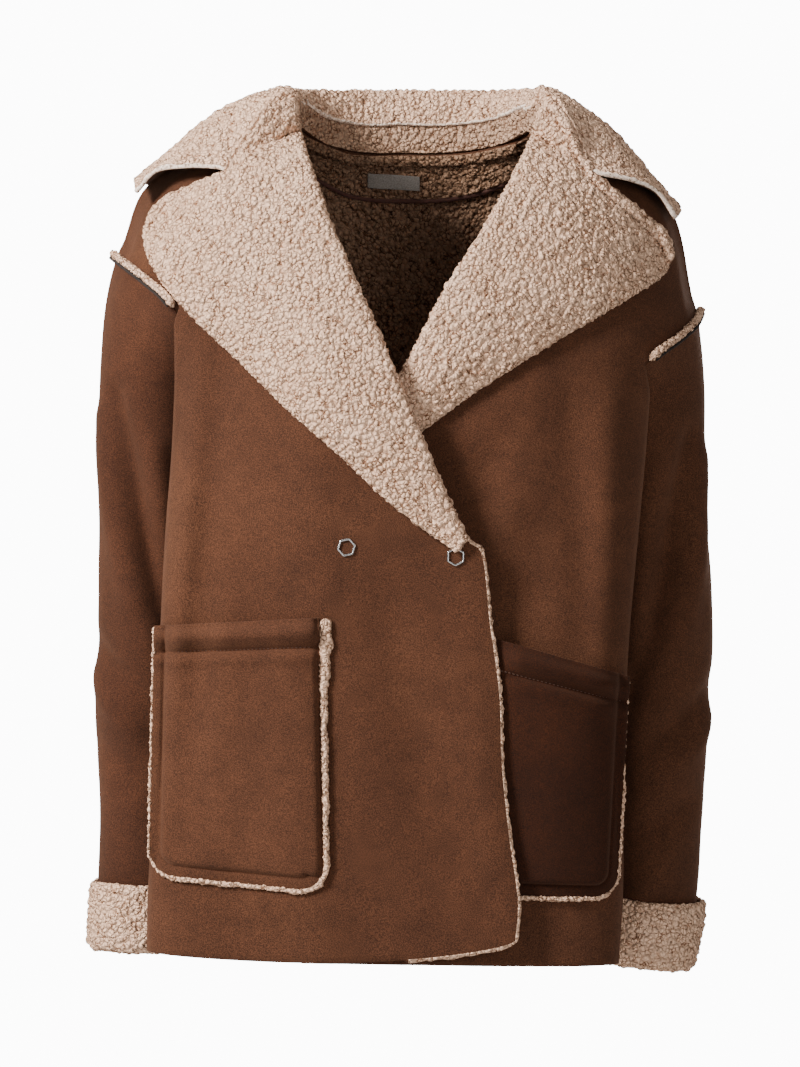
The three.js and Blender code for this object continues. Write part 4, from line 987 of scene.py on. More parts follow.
def pile_material(name, deep, top):
    """Curly sherpa: pale puffy curls of uneven size, with painted shade in the gaps between them and low
    on them, and fine fibres.
    """
    material, tree = new_material(name)
    place = texture_place(tree)
    strayed = wandering(tree, place, 170.0, 0.0046)
    curl = node(tree, "ShaderNodeAttribute", {}, attribute_name="curl")
    fibre = noise_node(tree, place, 1000.0, 1.0, 0.7, 1.0)
    broad = noise_node(tree, place, 26.0, 2.0)
    # The curl value darkens the cracks and the curls' low parts: painted shade.
    base = ramp_node(tree, curl.outputs["Fac"], [(0.0, deep), (0.22, top), (1.0, top)])
    base = mix_colours(tree, base, gap_shades(tree, place, strayed), 1.0, "MULTIPLY")
    base = shaded(tree, base, fibre, [(0.3, grey(0.90)), (0.7, grey(1.05))])
    base = shaded(tree, base, broad, [(0.35, (0.95, 0.93, 0.91)), (0.7, grey(1.03))])
    far = curl_pattern(tree, strayed, "F1")
    puff = ramp_node(tree, far, [(0.0, grey(1.0)), (0.3, grey(0.88)), (0.55, grey(0.5)),
                                 (0.85, grey(0.0))])
    lumps = bump_node(tree, puff, 1.0, 0.0042)
    set_shader(tree, {"Base Color": base, "Roughness": 0.95, "Specular IOR Level": 0.08,
                      "Normal": bump_node(tree, fibre, 0.4, 0.0006, lumps)})
    return material


def raw_material():
    """The pale cut edge of the bonded cloth."""
    stops = [(0.33, (0.22, 0.14, 0.10)), (0.42, (0.64, 0.47, 0.36)), (0.58, (0.90, 0.74, 0.62))]
    return mottled_material("raw_edge", 500.0, 2.0, stops, Roughness=0.95)[0]


def tape_material():
    """Plain woven binding tape."""
    material, tree = new_material("tape")
    weave = node(tree, "ShaderNodeTexWave", {"Scale": 420.0, "Distortion": 0.6,
                                             "Vector": texture_place(tree)}).outputs["Fac"]
    tone = ramp_node(tree, weave, [(0.2, (0.045, 0.016, 0.011)), (0.8, (0.10, 0.036, 0.024))])
    set_shader(tree, {"Base Color": tone, "Roughness": 0.75,
                      "Normal": bump_node(tree, weave, 0.4, 0.0004)})
    return material


def satin_material():
    """Blank satin of the neck label, darkened with painted shade of the neck."""
    stops = [(0.35, (0.12, 0.105, 0.09)), (0.65, (0.22, 0.20, 0.18))]
    material, tree, weave = mottled_material("satin", 1100.0, 2.0, stops, Roughness=0.42)
    set_shader(tree, {"Sheen Weight": 0.2, "Normal": bump_node(tree, weave, 0.3, 0.0002)})
    return material


def thread_material():
    """Brown sewing thread."""
    stops = [(0.3, (0.045, 0.018, 0.01)), (0.7, (0.10, 0.045, 0.026))]
    return mottled_material("thread", 1500.0, 2.0, stops, Roughness=0.6)[0]


def shadow_line_material():
    """A near-black colour that is painted shadow, for the line below the armhole's pale edge."""
    stops = [(0.3, (0.006, 0.003, 0.002)), (0.7, (0.02, 0.009, 0.005))]
    return mottled_material("painted_shadow_line", 300.0, 3.0, stops, Roughness=0.9)[0]


def steel_material():
    """Polished silver-coloured metal with fine handling marks."""
    stops = [(0.3, (0.42, 0.41, 0.40)), (0.7, (0.66, 0.65, 0.64))]
    material, tree, marks = mottled_material("snap_metal", 700.0, 4.0, stops, Metallic=1.0)
    rough = node(tree, "ShaderNodeMapRange", {"To Min": 0.12, "To Max": 0.3, "Value": marks})
    set_shader(tree, {"Roughness": rough.outputs["Result"]})
    return material


MATERIALS = {
    "suede": suede("suede", PLAIN_NAP),
    # A darker copy of the suede with painted shade, for the left pocket.
    "turned_suede": suede("suede_pocket_shaded", POCKET_SHADE),
    # A darker copy of the suede with painted shade, for the right sleeve.
    "sleeve_suede": suede("suede_sleeve", SLEEVE_SHADE),
    "pile": pile_material("pile", PILE_DEEP, PILE_TOP),
    "raw": raw_material(),
    # The darker pile with painted shade, for the inside.
    "inside": pile_material("pile_inside_shaded", SHADED_INSIDE_DEEP, SHADED_INSIDE_TOP),
    # The darker pile with painted shade, for the collar stand.
    "flattened": pile_material("pile_stand_shaded", SHADED_STAND_DEEP, SHADED_STAND_TOP),
    "tape": tape_material(),
    "satin": satin_material(),
    "thread": thread_material(),
    # A near-black line that is painted shadow below the armhole edges.
    "cut": shadow_line_material(),
    "metal": steel_material(),
}


# ---- Fronts with their lapels, and the back ----
FRONT_STEPS = 66            # steps across a front and round its turn beside the sleeve
TURN_STEPS = 10
ROLL_STEPS = 7              # steps round a lapel's roll and across its leaf
LEAF_STEPS = 84
UNDER_LAP_ROWS = 8          # the under front's plain rows at its hidden lower corner
RAW_HEM = 95.0              # how far the over front's raw edge shows along the hem
OPEN_ROWS = 6               # rows by the hem, and points by the front edge, whose pile may be seen
OPEN_POINTS = 14


def front_grids(side):
    """A front's body and its lapel, which share the line where the lapel starts to roll."""
    def lapel_span(v):
        return np.concatenate([roll_point(side, v), side.edge_at(v)])

    low = even(lambda v: inner_point(side, v), 0, BREAK, BODY_MESH)
    high = even(lapel_span, BREAK, LAST, PILE_MESH)
    body = np.array([front_row(side, v, FRONT_STEPS, TURN_STEPS) for v in [*low[:-1], *high]])
    lapel = gorge_relief(side, np.array([lapel_row(side, v, ROLL_STEPS, LEAF_STEPS) for v in high]))
    shared = high <= NECK
    lapel[shared, 0] = body[len(low) - 1:][shared, 0]
    above = len(low) - 1 + int(shared.sum())
    if side is RIGHT:
        hem = body[0][np.abs(body[0][:, 0] - body[0][0, 0]) >= RAW_HEM]
    else:
        hem = np.vstack([body[0], body[:UNDER_LAP_ROWS, 0]])
    notch = ROLL_STEPS + LEAF_STEPS * GORGE_STEPS // len(side.gorge)
    seams = np.vstack([body[:, -1], body[-1], body[above:, 0], lapel[~shared, 0],
                       lapel[-1, :notch + 1], hem])
    hidden = body[OPEN_ROWS:, OPEN_POINTS:].reshape(-1, 3)
    return [(body, side.sign < 0), (lapel, side.sign > 0)], seams, hidden


BACK_MESH = 5.0             # spacing of the back's rows, and closer from BACK_FINE up
BACK_PILE_MESH = 2.6
BACK_FINE = 8


def back_grid():
    """The back, whose rows are closer in its upper half, where the pile may be seen."""
    def centre(v):
        return back_half_row(RIGHT, v, 1, 1, 1)[0]

    low = even(centre, 0, BACK_FINE, BACK_MESH)
    high = even(centre, BACK_FINE, LAST, BACK_PILE_MESH)
    return np.array([back_row(v, neck_count=34, across=22, round_count=16)
                     for v in [*low[:-1], *high]])


# ---- Neck ----
STAND_NARROWS = 0.96        # the stand's top against its foot, in width
STAND_LEANS = 3.0           # how much further back its top is
STAND_SHORT = 0.16          # share of a step by which the stand stops short of the lapels
STAND_POINTS = 130          # points along the stand, and its rows
STAND_ROWS = 17
STAND_LIFT = 0.05           # share of its height by which it starts above the neck seam


def coarse_lapel(side, v):
    """A lapel's row by the fewest points: four steps round the roll, then the gorge's own."""
    return lapel_row(side, v, 4, len(side.gorge))


def neck_lines():
    """The neck seam from the right front round to the left one, and the stand's top and middle."""
    def half(side):
        return [inner_point(side, NECK), inner_point(side, NECK + 1)]

    back = back_row(LAST, 5, 1, 1)
    back_neck = back[2:-2]
    seam = np.array([*half(RIGHT), *back_neck, *half(LEFT)[::-1]])
    out = np.abs(np.arange(AROUND + 1) - AROUND / 2) / (AROUND / 2)
    top = seam * (STAND_NARROWS, 1, 1)
    top[:, 1] += STAND_LEANS
    top[:, 2] += column(STAND_RISE, "x", out, "z")
    ends = [(0, RIGHT), (AROUND, LEFT)]
    for i, side in ends:
        top[i] = coarse_lapel(side, LAST)[0]
    middle = mix(seam, top, 0.5)
    for i, side in ends:
        middle[i] = coarse_lapel(side, NECK + 1)[0]
    return seam, middle, top


def stand_grid(seam, middle, top):
    """The collar stand from the neck seam up to where the collar starts."""
    rows = []
    for line in (mix(seam, top, STAND_LIFT), middle, top):
        line = line.copy()
        line[0] = mix(line[0], line[1], STAND_SHORT)
        line[AROUND] = mix(line[AROUND], line[AROUND - 1], STAND_SHORT)
        rows.append(line)
    around = np.linspace(0, AROUND, STAND_POINTS)
    fine = np.array([curve(np.arange(AROUND + 1), line, around) for line in rows])
    return curve([0, 1, 2], fine, np.linspace(0, 2, STAND_ROWS))


COLLAR_KEYS = [0, 0.18, 0.6, 1]     # shares of a section at its foot, roll, fall and edge


def collar_section(i, start, t):
    """A collar section from the stand, over the roll and down to the edge."""
    points = [start]
    for part in ("roll", "fall", "edge"):
        points.append([column(COLLAR_ROWS, "at", i, part + axis) for axis in "XYZ"])
    return curve(COLLAR_KEYS, np.array(points), t)


def collar_end(side, t):
    """The collar's front end: the gorge seam, then its own front edge to the point."""
    notch = 4 + GORGE_STEPS
    return cornered(np.vstack([coarse_lapel(side, LAST)[:notch + 1], side.leaf]), notch, t)


def pile_way(grid):
    """Which way a grid's pile side looks, which is forward and up on a collar or lapel."""
    way = unit(np.cross(np.gradient(grid, axis=0), np.gradient(grid, axis=1)))
    return way if np.sum(way * (0, -1, 0.4)) > 0 else -way


def from_end(grid, end):
    """How far each point is along its own line from the grid's first or last row."""
    steps = np.linalg.norm(np.diff(grid if end == "first" else grid[::-1], axis=0), axis=2)
    far = np.vstack([np.zeros(grid.shape[1]), np.cumsum(steps, axis=0)])
    return far if end == "first" else far[::-1]


COLLAR_MESH = 2.3                   # spacing of the collar's sections along its edge
COLLAR_LAP = (0.0, -4.0, -2.6)      # how far the collar's raw edge laps over the stand
LAP_REACH = 0.16                    # share of a section over which it comes back
GORGE_STRIP = 11.0                  # width of the lapped ridge at the left gorge
GORGE_RAISE = 3.4                   # its height
CREASE_DEEP = 1.6                   # depth and width of the crease along a gorge
CREASE_WIDE = 2.2
GORGE_SHARE = 8 / 12                # how much of the collar's end is sewn to the lapel


def collar_grid(top):
    """The collar from its foot to its edge, round the neck from the right gorge to the left one."""
    t = np.linspace(0, 1, 76)
    sections = [collar_end(RIGHT, t)]
    sections += [collar_section(i, top[i], t) for i in range(1, AROUND)]
    sections.append(collar_end(LEFT, t))
    around = even(lambda i: curve(np.arange(AROUND + 1), np.array([s[-1] for s in sections]), i),
                  0, AROUND, COLLAR_MESH, 200)
    grid = curve(np.arange(AROUND + 1), np.array(sections), around)
    # The lap over the stand fades out before the gorges.
    inside = ease(np.minimum(around - 0.7, AROUND - 0.7 - around) / 0.6)[:, None]
    lap = inside * ease(1 - t / LAP_REACH)[None, :]
    grid = grid + lap[..., None] * np.array(COLLAR_LAP)
    near_end = hill(from_end(grid, "first"), 0, CREASE_WIDE) + hill(from_end(grid, "last"), 0, CREASE_WIDE)
    return grid - pile_way(grid) * (CREASE_DEEP * near_end)[..., None]


def gorge_relief(side, lapel):
    """A lapel whose gorge shows: a lapped ridge on the left one, a soft crease on the right one."""
    far = from_end(lapel, "last")
    low = CREASE_DEEP * hill(far, 0, CREASE_WIDE)
    if side.sign > 0:
        low = low - GORGE_RAISE * ease((GORGE_STRIP - far) / 2.5) * ease(far / 2.0)
        low = low + 1.6 * CREASE_DEEP * hill(far - GORGE_STRIP, 1.0, 1.8)
    past_roll = ease((np.arange(lapel.shape[1]) - ROLL_STEPS + 1) / 4.0)[None, :]
    return lapel - pile_way(lapel) * (low * past_roll)[..., None]


# ---- Sleeves and cuffs ----
def armhole_at(side, share):
    """A point of the armhole: up its front half from the underarm, then down its back half."""
    rows_round = 2 * (LAST - UNDERARM)
    if share <= 0.5:
        return side.front_side_at(UNDERARM + rows_round * share)
    return side.back_side_at(UNDERARM + rows_round * (1 - share))


def sleeve_section(side, depth, share, grow=0.0):
    """A ring of points round a sleeve, from the underarm by way of its front."""
    rows = side.sleeve
    angle = 2 * np.pi * share
    outer = column(rows, "depth", depth, "outer") + side.sign * grow
    inner = column(rows, "depth", depth, "inner") - side.sign * grow
    front = column(rows, "depth", depth, "front") - grow
    back = column(rows, "depth", depth, "back") + grow
    x = (outer + inner) / 2 - side.sign * abs(outer - inner) / 2 * np.cos(angle)
    y = (front + back) / 2 - (back - front) / 2 * np.sin(angle)
    tilt = LEFT_CUFF_TILT * float(ease((depth - TILT_FROM) / (TILT_FULL - TILT_FROM)))
    if side is RIGHT:
        tilt = 0.0
    return np.stack([x, y, -float(depth) + tilt * np.cos(angle)], axis=1)


# A sleeve's folds by their two ends, as the share round from the underarm and the depth.
SLEEVE_FOLDS = table("share0 depth0 share1 depth1 wide high", [
    (0.37, 250, 0.19, 470, 13, -12.5),
    (0.45, 270, 0.31, 430, 14, 6.5),
    (0.24, 300, 0.20, 440, 11, 5.0),
    (0.15, 360, 0.14, 640, 13, -9.0),
    (0.85, 380, 0.86, 620, 13, -6.0),
    (0.47, 470, 0.24, 520, 12, -6.5),
    (0.46, 500, 0.30, 545, 12, 5.5),
    (0.44, 560, 0.20, 600, 13, -3.5),
    (0.30, 620, 0.18, 680, 14, 3.1),
    (0.66, 300, 0.82, 480, 14, -9.5),
    (0.60, 330, 0.70, 480, 14, 4.5),
    (0.58, 520, 0.80, 560, 13, -3.9),
    (0.62, 600, 0.84, 640, 14, 3.5),
])
SLEEVE_ROUND = 300.0        # about how far it is round a sleeve
SLEEVE_POINTS = 75          # points round a sleeve, and the spacing of its rings
SLEEVE_MESH = 4.5
CAP_ROWS = 39               # rings in the sleeve's head, from the armhole down
CUFF_POINTS = 155           # points round a cuff, and its rings
CUFF_ROWS = 40


def sleeve_drape(side, depth, share, seed):
    """How far a sleeve's folds stand out, by the depth below the neck and the share round it."""
    shift = side.sleeve["depth"][0] - RIGHT_SLEEVE["depth"][0]
    folds = dict(SLEEVE_FOLDS)
    for end in "01":
        folds["share" + end] = folds["share" + end] * SLEEVE_ROUND
        folds["depth" + end] = folds["depth" + end] + shift
    total = fold_heights(folds, share * SLEEVE_ROUND, depth)
    ring = on_drum(share, 50, depth * 0.6)
    return total + 1.3 * noise(ring, 46, seed) + 0.5 * noise(ring, 24, seed + 3)


def sleeve_grid(side, seed):
    """A sleeve from its armhole, whose edge it follows, down to the cuff's fold."""
    share = round_shares(SLEEVE_POINTS)
    shift = np.array([side.sign * SLEEVE_SHIFT, 0, -SLEEVE_SHIFT])
    loop = np.array([armhole_at(side, s) for s in share]) + shift
    top_depth = side.sleeve["depth"][0]
    first = sleeve_section(side, top_depth, share)
    # Each ring comes with the share of the drape that it takes.
    rows = []
    for t in round_shares(CAP_ROWS):
        across = 1 - (1 - t) ** 4
        row = np.stack([mix(loop[:, 0], first[:, 0], across), mix(loop[:, 1], first[:, 1], across),
                        mix(loop[:, 2], first[:, 2], t)], axis=1)
        rows.append((row, float(ease(t * 1.4))))
    for depth in np.arange(top_depth, side.sleeve["depth"][-1] + 1, SLEEVE_MESH):
        rows.append((sleeve_section(side, depth, share), 1.0))
    out = []
    middle_x = (first[:, 0].max() + first[:, 0].min()) / 2
    for row, amount in rows:
        way = unit((row - [middle_x, 0, 0]) * (1, 1, 0))
        drape = sleeve_drape(side, -row[:, 2], share, seed)
        # The folds die away beside the body, where the sleeve would meet it.
        clear = 1 - 0.8 * hill(np.minimum(share, 1 - share), 0, 0.12)
        out.append(row + way * (drape * amount * clear)[:, None])
    return ring_closed(np.array(out))


# A cuff's section from its raw top edge to its fold: how far out of the sleeve and above its end.
CUFF_PROFILE = table("at out up", [
    (0, 5.4, 54), (0.12, 6.6, 50), (0.4, 7.4, 35), (0.75, 7.0, 11), (0.9, 5.4, 1), (1, 1.4, -3.6)])


def cuff_grid(side, seed):
    """The turned-back end of a sleeve, from its raw top edge down to the fold."""
    share = round_shares(CUFF_POINTS)
    end = side.sleeve["depth"][-1]
    rows = []
    for at in np.linspace(0, 1, CUFF_ROWS):
        out = column(CUFF_PROFILE, "at", at, "out")
        up = column(CUFF_PROFILE, "at", at, "up")
        row = sleeve_section(side, end - up, share, out)
        ring = on_drum(share, 40, up)
        row[:, 2] += 2.2 * noise(ring * (1, 1, 0), 34, seed) * (1 - at)
        way = unit((row - [row[:, 0].mean(), row[:, 1].mean(), 0]) * (1, 1, 0))
        rows.append(row + way * (0.9 * noise(ring, 22, seed + 5))[:, None])
    return ring_closed(np.array(rows))


# ---- Pieces that lie on a panel ----
def on_panel(surface, x, z, lift):
    """Points on a panel, moved forward along its normal."""
    step = 0.5
    dx = (surface(x + step, z) - surface(x - step, z)) / (2 * step)
    dz = (surface(x, z + step) - surface(x, z - step)) / (2 * step)
    n = unit(np.stack([dx, -np.ones_like(dx), dz], axis=-1))
    place = np.stack([x, surface(x, z), z], axis=-1)
    return place + n * np.asarray(lift, float)[..., None]


def panel_way(surface, x, z):
    """The forward normals of a panel."""
    return on_panel(surface, x, z, 1) - on_panel(surface, x, z, 0)


FACING_POINTS = 90
FACING_TOP = 0.6            # how far the facing starts below the neck seam
FACING_SPREAD = 400.0       # drop over which the facing would grow to twice its width
FACING_DROP = table("x z", [(-1, 22), (-0.7, 31), (-0.3, 35), (0, 36), (0.4, 35), (0.75, 31), (1, 24)])
FACING_LIFT = CLOTH / 2 + SEAM_GAP + FACING_CLOTH / 2 + 1.4
FACING_WAVE = 1.6           # how unevenly the facing's lower edge hangs
TAPE_LIFT = CLOTH / 2 + SEAM_GAP + TAPE / 2 + 2.4
TAPE_WIDTH = 5.0
TAPE_PUFF = 1.2             # how far the tape bulges between its edges
FACING_RIDGE = 3.4          # the rolled band along the facing's top


def facing_lines(back_neck):
    """The part of the neck seam that the facing hangs from, how far it drops and its unevenness."""
    # It starts past the right neck point and stops half a step short of the left one.
    seam = back_neck[1:-1].copy()
    seam[0], seam[-1] = mix(back_neck[1], back_neck[0], 1.1), mix(back_neck[-2], back_neck[-1], 0.5)
    at = np.linspace(0, len(seam) - 1, FACING_POINTS)
    line = curve(np.arange(len(seam)), seam, at)
    drop = column(FACING_DROP, "x", 2 * at / (len(seam) - 1) - 1, "z")
    return line, drop, noise(line * (1, 1, 0), 30, 71)


def facing_point(line, below, lift):
    """Points on the inside of the back, some way below the neck seam."""
    x = line[:, 0] * (1 + below / FACING_SPREAD)
    return on_panel(back_y, x, line[:, 2] - FACING_TOP - below, lift)


def facing_grid(back_neck):
    line, drop, wave = facing_lines(back_neck)
    rows = []
    for t in np.linspace(0, 1, 25):
        hang = FACING_WAVE * t * wave
        below = drop * t
        ridge = FACING_RIDGE * hill(below, 3.5, 3.2)
        rows.append(facing_point(line, below, FACING_LIFT + hang + 1.2 * t + ridge))
    return np.array(rows)


def tape_grid(back_neck):
    line, drop, wave = facing_lines(back_neck)
    rows = []
    for t in np.linspace(0, 1, 5):
        lift = TAPE_LIFT + FACING_WAVE * wave + TAPE_PUFF * np.sin(np.pi * t)
        rows.append(facing_point(line, drop + mix(0.2, TAPE_WIDTH, t), lift))
    return np.array(rows)


LABEL_AT = dict(left=-30, right=18, top=-40, bottom=-53, tilt=3)
LABEL_LIFT = FACING_LIFT + FACING_CLOTH / 2 + LABEL / 2 + 2.6


def label_grid():
    """The label from its lower edge to its upper one."""
    t = np.linspace(0, 1, 25)
    x = mix(LABEL_AT["left"], LABEL_AT["right"], t)
    rows = []
    for up in np.linspace(0, 1, 8):
        z = mix(LABEL_AT["bottom"], LABEL_AT["top"], up) - LABEL_AT["tilt"] * t
        # It bows a little, most of all at its lower edge.
        bow = 0.8 * np.sin(np.pi * t) * (1 - up) + 0.3 * np.sin(9 * t)
        rows.append(on_panel(back_y, x, z, LABEL_LIFT + bow))
    return np.array(rows)


# ---- Pockets ----
HEM = 22.0                  # from the pocket's open top to its stitched line
INSET = 10.5                # from the outer and lower edges to the pocket's raised middle
INNER_INSET = 3.5           # the same from its inner edge
POCKET_COLUMNS = 84
POCKET_ROWS = 124
POCKET_RAISE = 3.4          # height of that middle
POCKET_GROOVE = 1.5         # depth of the groove round it
HEM_PAD = 6.5               # height of the padded hem
STITCH_SINK = 4.2           # how deep its stitched line sinks
BELOW_STITCH = 2.0          # how far the cloth rises again below that line
TUCK_END = 20.0             # the hem is full this far beyond where the other front covers it
POCKET_ROUND = 21.0         # radius of the lower corners


def pocket_size(pocket):
    """How wide a pocket is along its top, and how tall down its outer side."""
    wide = abs(pocket["outerTop"][0] - pocket["innerTop"][0])
    tall = abs(pocket["outerBottom"][1] - pocket["outerTop"][1])
    return wide, tall


def pocket_base(side, x, z):
    """The front's surface under a pocket, which doesn't follow the body's turn at the side."""
    width = column(GIRTH, "z", z, side.name) * POCKET_TURN
    return side.y(side.sign * np.minimum(side.sign * x, width), z)


def rounded(pocket, across, down):
    """Shares across and down, moved so that the pocket's lower corners are round."""
    wide, tall = pocket_size(pocket)
    near = np.minimum(across, 1 - across) * wide
    a = np.maximum(0, 1 - near / POCKET_ROUND)
    b = np.maximum(0, 1 - (1 - down) * tall / POCKET_ROUND)
    squeeze = np.maximum(a, b) / np.maximum(np.hypot(a, b), 1e-9)
    squeeze = np.where((a > 0) & (b > 0), squeeze, 1)
    near = np.where(a > 0, POCKET_ROUND * (1 - a * squeeze), near)
    down = np.where(b > 0, 1 - POCKET_ROUND * (1 - b * squeeze) / tall, down)
    return np.where(across < 0.5, near / wide, 1 - near / wide), down


def pocket_place(pocket, across, down):
    """A place on a pocket by its shares across, from the inner side, and down."""
    across, down = rounded(pocket, across, down)
    top = mix(np.array(pocket["innerTop"]), np.array(pocket["outerTop"]), across[..., None])
    foot = mix(np.array(pocket["innerBottom"]), np.array(pocket["outerBottom"]), across[..., None])
    place = mix(top, foot, down[..., None])
    return place[..., 0], place[..., 1]


def pocket_surface(side, pocket, across, down, extra=0.0):
    """A patch pocket: raised middle, grooves by its sewn edges, padded hem, and a top that stands off."""
    x, z = pocket_place(pocket, across, down)
    wide, tall = pocket_size(pocket)
    bag = np.maximum(np.sin(np.pi * across), 0) ** 0.6 * np.cos(np.pi * down / 2) ** 0.7
    from_top = down * tall
    from_edge = np.minimum((1 - across) * wide, (1 - down) * tall) - INSET
    from_edge = np.minimum(from_edge, across * wide - INNER_INSET)
    raised = ease((from_edge + 1.5) / 3.6)
    groove = hill(from_edge, -1.2, 1.4)
    hem = HEM_PAD * hill(from_top, 10, 6.0) - STITCH_SINK * hill(from_top - HEM, 1, 3.2)
    hem += BELOW_STITCH * hill(from_top - HEM, 8, 5)
    hem = hem * ease((across * wide - pocket["tucked"]) / TUCK_END)
    out = mix(POCKET_SEAT, POCKET_BAG, bag) + POCKET_RAISE * raised - POCKET_GROOVE * groove + hem + extra
    out = out + 1.1 * swells(x * 1.7, z * 1.7, 77) * raised * 0.35
    return np.stack([x, pocket_base(side, x, z) - np.maximum(out, POCKET_SEAT * 0.8), z], axis=-1)


def pocket_grid(side, pocket):
    across, down = np.meshgrid(np.linspace(0, 1, POCKET_COLUMNS), np.linspace(0, 1, POCKET_ROWS))
    return pocket_surface(side, pocket, across, down)


TAPER_STEPS = 3.0           # steps over which a strand's end narrows


def strand(name, path, out_way, half_wide, half_high, seed, around=14, kind="pile", curly=1.5):
    """A bumpy edge of pile along a path: an oval bar that tapers at its ends."""
    path = np.asarray(path, float)
    count = len(path)
    along = unit(np.gradient(path, axis=0))
    up = unit(out_way - along * np.sum(out_way * along, axis=1, keepdims=True))
    sideways = np.cross(along, up)
    end = np.minimum(np.arange(count), np.arange(count)[::-1]) / TAPER_STEPS
    taper = np.sqrt(1 - (1 - np.clip(end, 0, 1)) ** 2) * 0.98 + 0.02
    angle = round_angles(around)
    ring = (sideways[:, None] * (half_wide * taper)[:, None, None] * np.cos(angle)[None, :, None]
            + up[:, None] * (half_high * taper)[:, None, None] * np.sin(angle)[None, :, None])
    points = path[:, None] + ring
    curls, shade = pile(points.reshape(-1, 3), seed, CURL * 0.7)
    curls, shade = curls.reshape(count, around), shade.reshape(count, around)
    points = points + unit(ring) * (curls * curly * taper[:, None])[..., None]
    number = np.arange(count * around).reshape(count, around)
    after = np.roll(number, -1, axis=1)
    corners = (number[:-1], number[1:], after[1:], after[:-1])
    quads = np.stack([corner.ravel() for corner in corners], axis=1)
    caps = []
    for row, flip in ((number[0], False), (number[-1], True)):
        for k in range(around // 2 - 1):
            quad = [row[k], row[k + 1], row[around - 2 - k], row[around - 1 - k]]
            caps.append(quad[::-1] if flip else quad)
    quads = np.vstack([quads, caps])
    return mesh_object(name, points.reshape(-1, 3), quads, np.zeros(len(quads)),
                       [MATERIALS[kind]], {"curl": shade.ravel()})


def even_path(points, spacing):
    """A line's points at an even spacing. Columns after the third go along with them."""
    share = by_length(points)
    length = np.linalg.norm(np.diff(points, axis=0), axis=1).sum()
    at = np.linspace(0, 1, max(3, int(length / spacing)))
    return np.stack([np.interp(at, share, points[:, k]) for k in range(points.shape[1])], axis=1)


def pocket_edge(side, pocket, name, seed):
    """Exposed cut edges down the pocket's outer side, along its foot and up its inner side."""
    t = np.linspace(0, 1, 90)
    one, zero = np.ones_like(t), np.zeros_like(t)
    # Columns are the shares across and down, then half the edge's width and height.
    teardrop = 3.0 * hill((1 - t) * 9, 0.8, 1.2)
    shown = ease((t - pocket["edge_from"]) / 0.12)
    outer = np.stack([one, t, mix(0.12, 0.9, shown), mix(0.12, 1.2, shown)], axis=1)
    foot = np.stack([1 - t, one, mix(1.0, 1.9, ease(t * 5)), 1.6 * one], axis=1)
    inner = np.stack([zero, 1 - t, 2.1 + 0.3 * ease(t * 2) + teardrop, 2.6 * one], axis=1)
    route = np.vstack([outer, foot[1:], inner[1:]])
    across, down, half_wide, half_high = route.T
    x, z = pocket_place(pocket, across, down)
    run = unit(np.stack([np.gradient(x), np.gradient(z)], axis=1))
    away = np.stack([-run[:, 1], run[:, 0]], axis=1) * side.sign
    uneven = 0.5 * noise(np.stack([x, zero[0] * x, z], axis=1), 9.0, seed)
    half_wide = half_wide * (1 + 0.6 * uneven)
    x, z = x + away[:, 0] * (half_wide + 0.3), z + away[:, 1] * (half_wide + 0.3)
    path = np.stack([x, pocket_base(side, x, z) - POCKET_SEAT, z], axis=1)
    fine = even_path(np.column_stack([path, half_wide, half_high]), 1.7)
    smooth = fine.copy()
    smooth[1:-1] = (fine[:-2] + 2 * fine[1:-1] + fine[2:]) / 4
    return strand(name, smooth[:, :3], panel_way(side.y, smooth[:, 0], smooth[:, 2]), smooth[:, 3],
                  smooth[:, 4], seed)


STITCH_LONG = 2.6
STITCH_GAP = 1.0
STITCH_THICK = 0.55         # half a stitch's thickness
STITCH_AROUND = 6           # points round a stitch
STITCH_FINE = 0.3           # spacing of the places where a stitch may start


def stitch_rings(part):
    """The rings of one stitch, which is a small capsule."""
    angle = round_angles(STITCH_AROUND)
    along = unit(np.gradient(part[:, :3], axis=0))
    up = unit(part[:, 3:])
    sideways = np.cross(along, up)
    rings = []
    for k, p in enumerate(part):
        bulge = STITCH_THICK * math.sqrt(max(0.08, 1 - (2 * k / (len(part) - 1) - 1) ** 2))
        round_p = np.cos(angle)[:, None] * sideways[k] + np.sin(angle)[:, None] * up[k]
        rings.append(p[:3] + bulge * round_p)
    return rings


def stitch_faces(base, count):
    """The quads of one stitch, whose rings are numbered from base, with its two ends."""
    faces = []
    for k in range(count - 1):
        row = base + k * STITCH_AROUND
        for j in range(STITCH_AROUND):
            a, b = row + j, row + (j + 1) % STITCH_AROUND
            faces.append((a, a + STITCH_AROUND, b + STITCH_AROUND, b))
    for row, order in ((base, 1), (base + STITCH_AROUND * (count - 1), -1)):
        for quad in ((0, 1, 2, 3), (0, 3, 4, 5)):
            faces.append([row + q for q in quad][::order])
    return faces


def stitch_row(name, points, out_way):
    """Sunk stitches along a line, as one mesh."""
    fine = even_path(np.column_stack([points, out_way]), STITCH_FINE)
    period = int(round((STITCH_LONG + STITCH_GAP) / STITCH_FINE))
    size = int(round(STITCH_LONG / STITCH_FINE))
    verts, faces = [], []
    for start in range(0, len(fine) - size, period):
        rings = stitch_rings(fine[start:start + size + 1:size // 4])
        faces.extend(stitch_faces(len(verts), len(rings)))
        verts.extend(np.vstack(rings))
    return mesh_object(name, np.array(verts), np.array(faces), np.zeros(len(faces)),
                       [MATERIALS["thread"]])


# ---- Armhole edges ----
ARMHOLE_SHOWN = (0.235, 0.75)   # shares of the armhole between which its edge stands proud


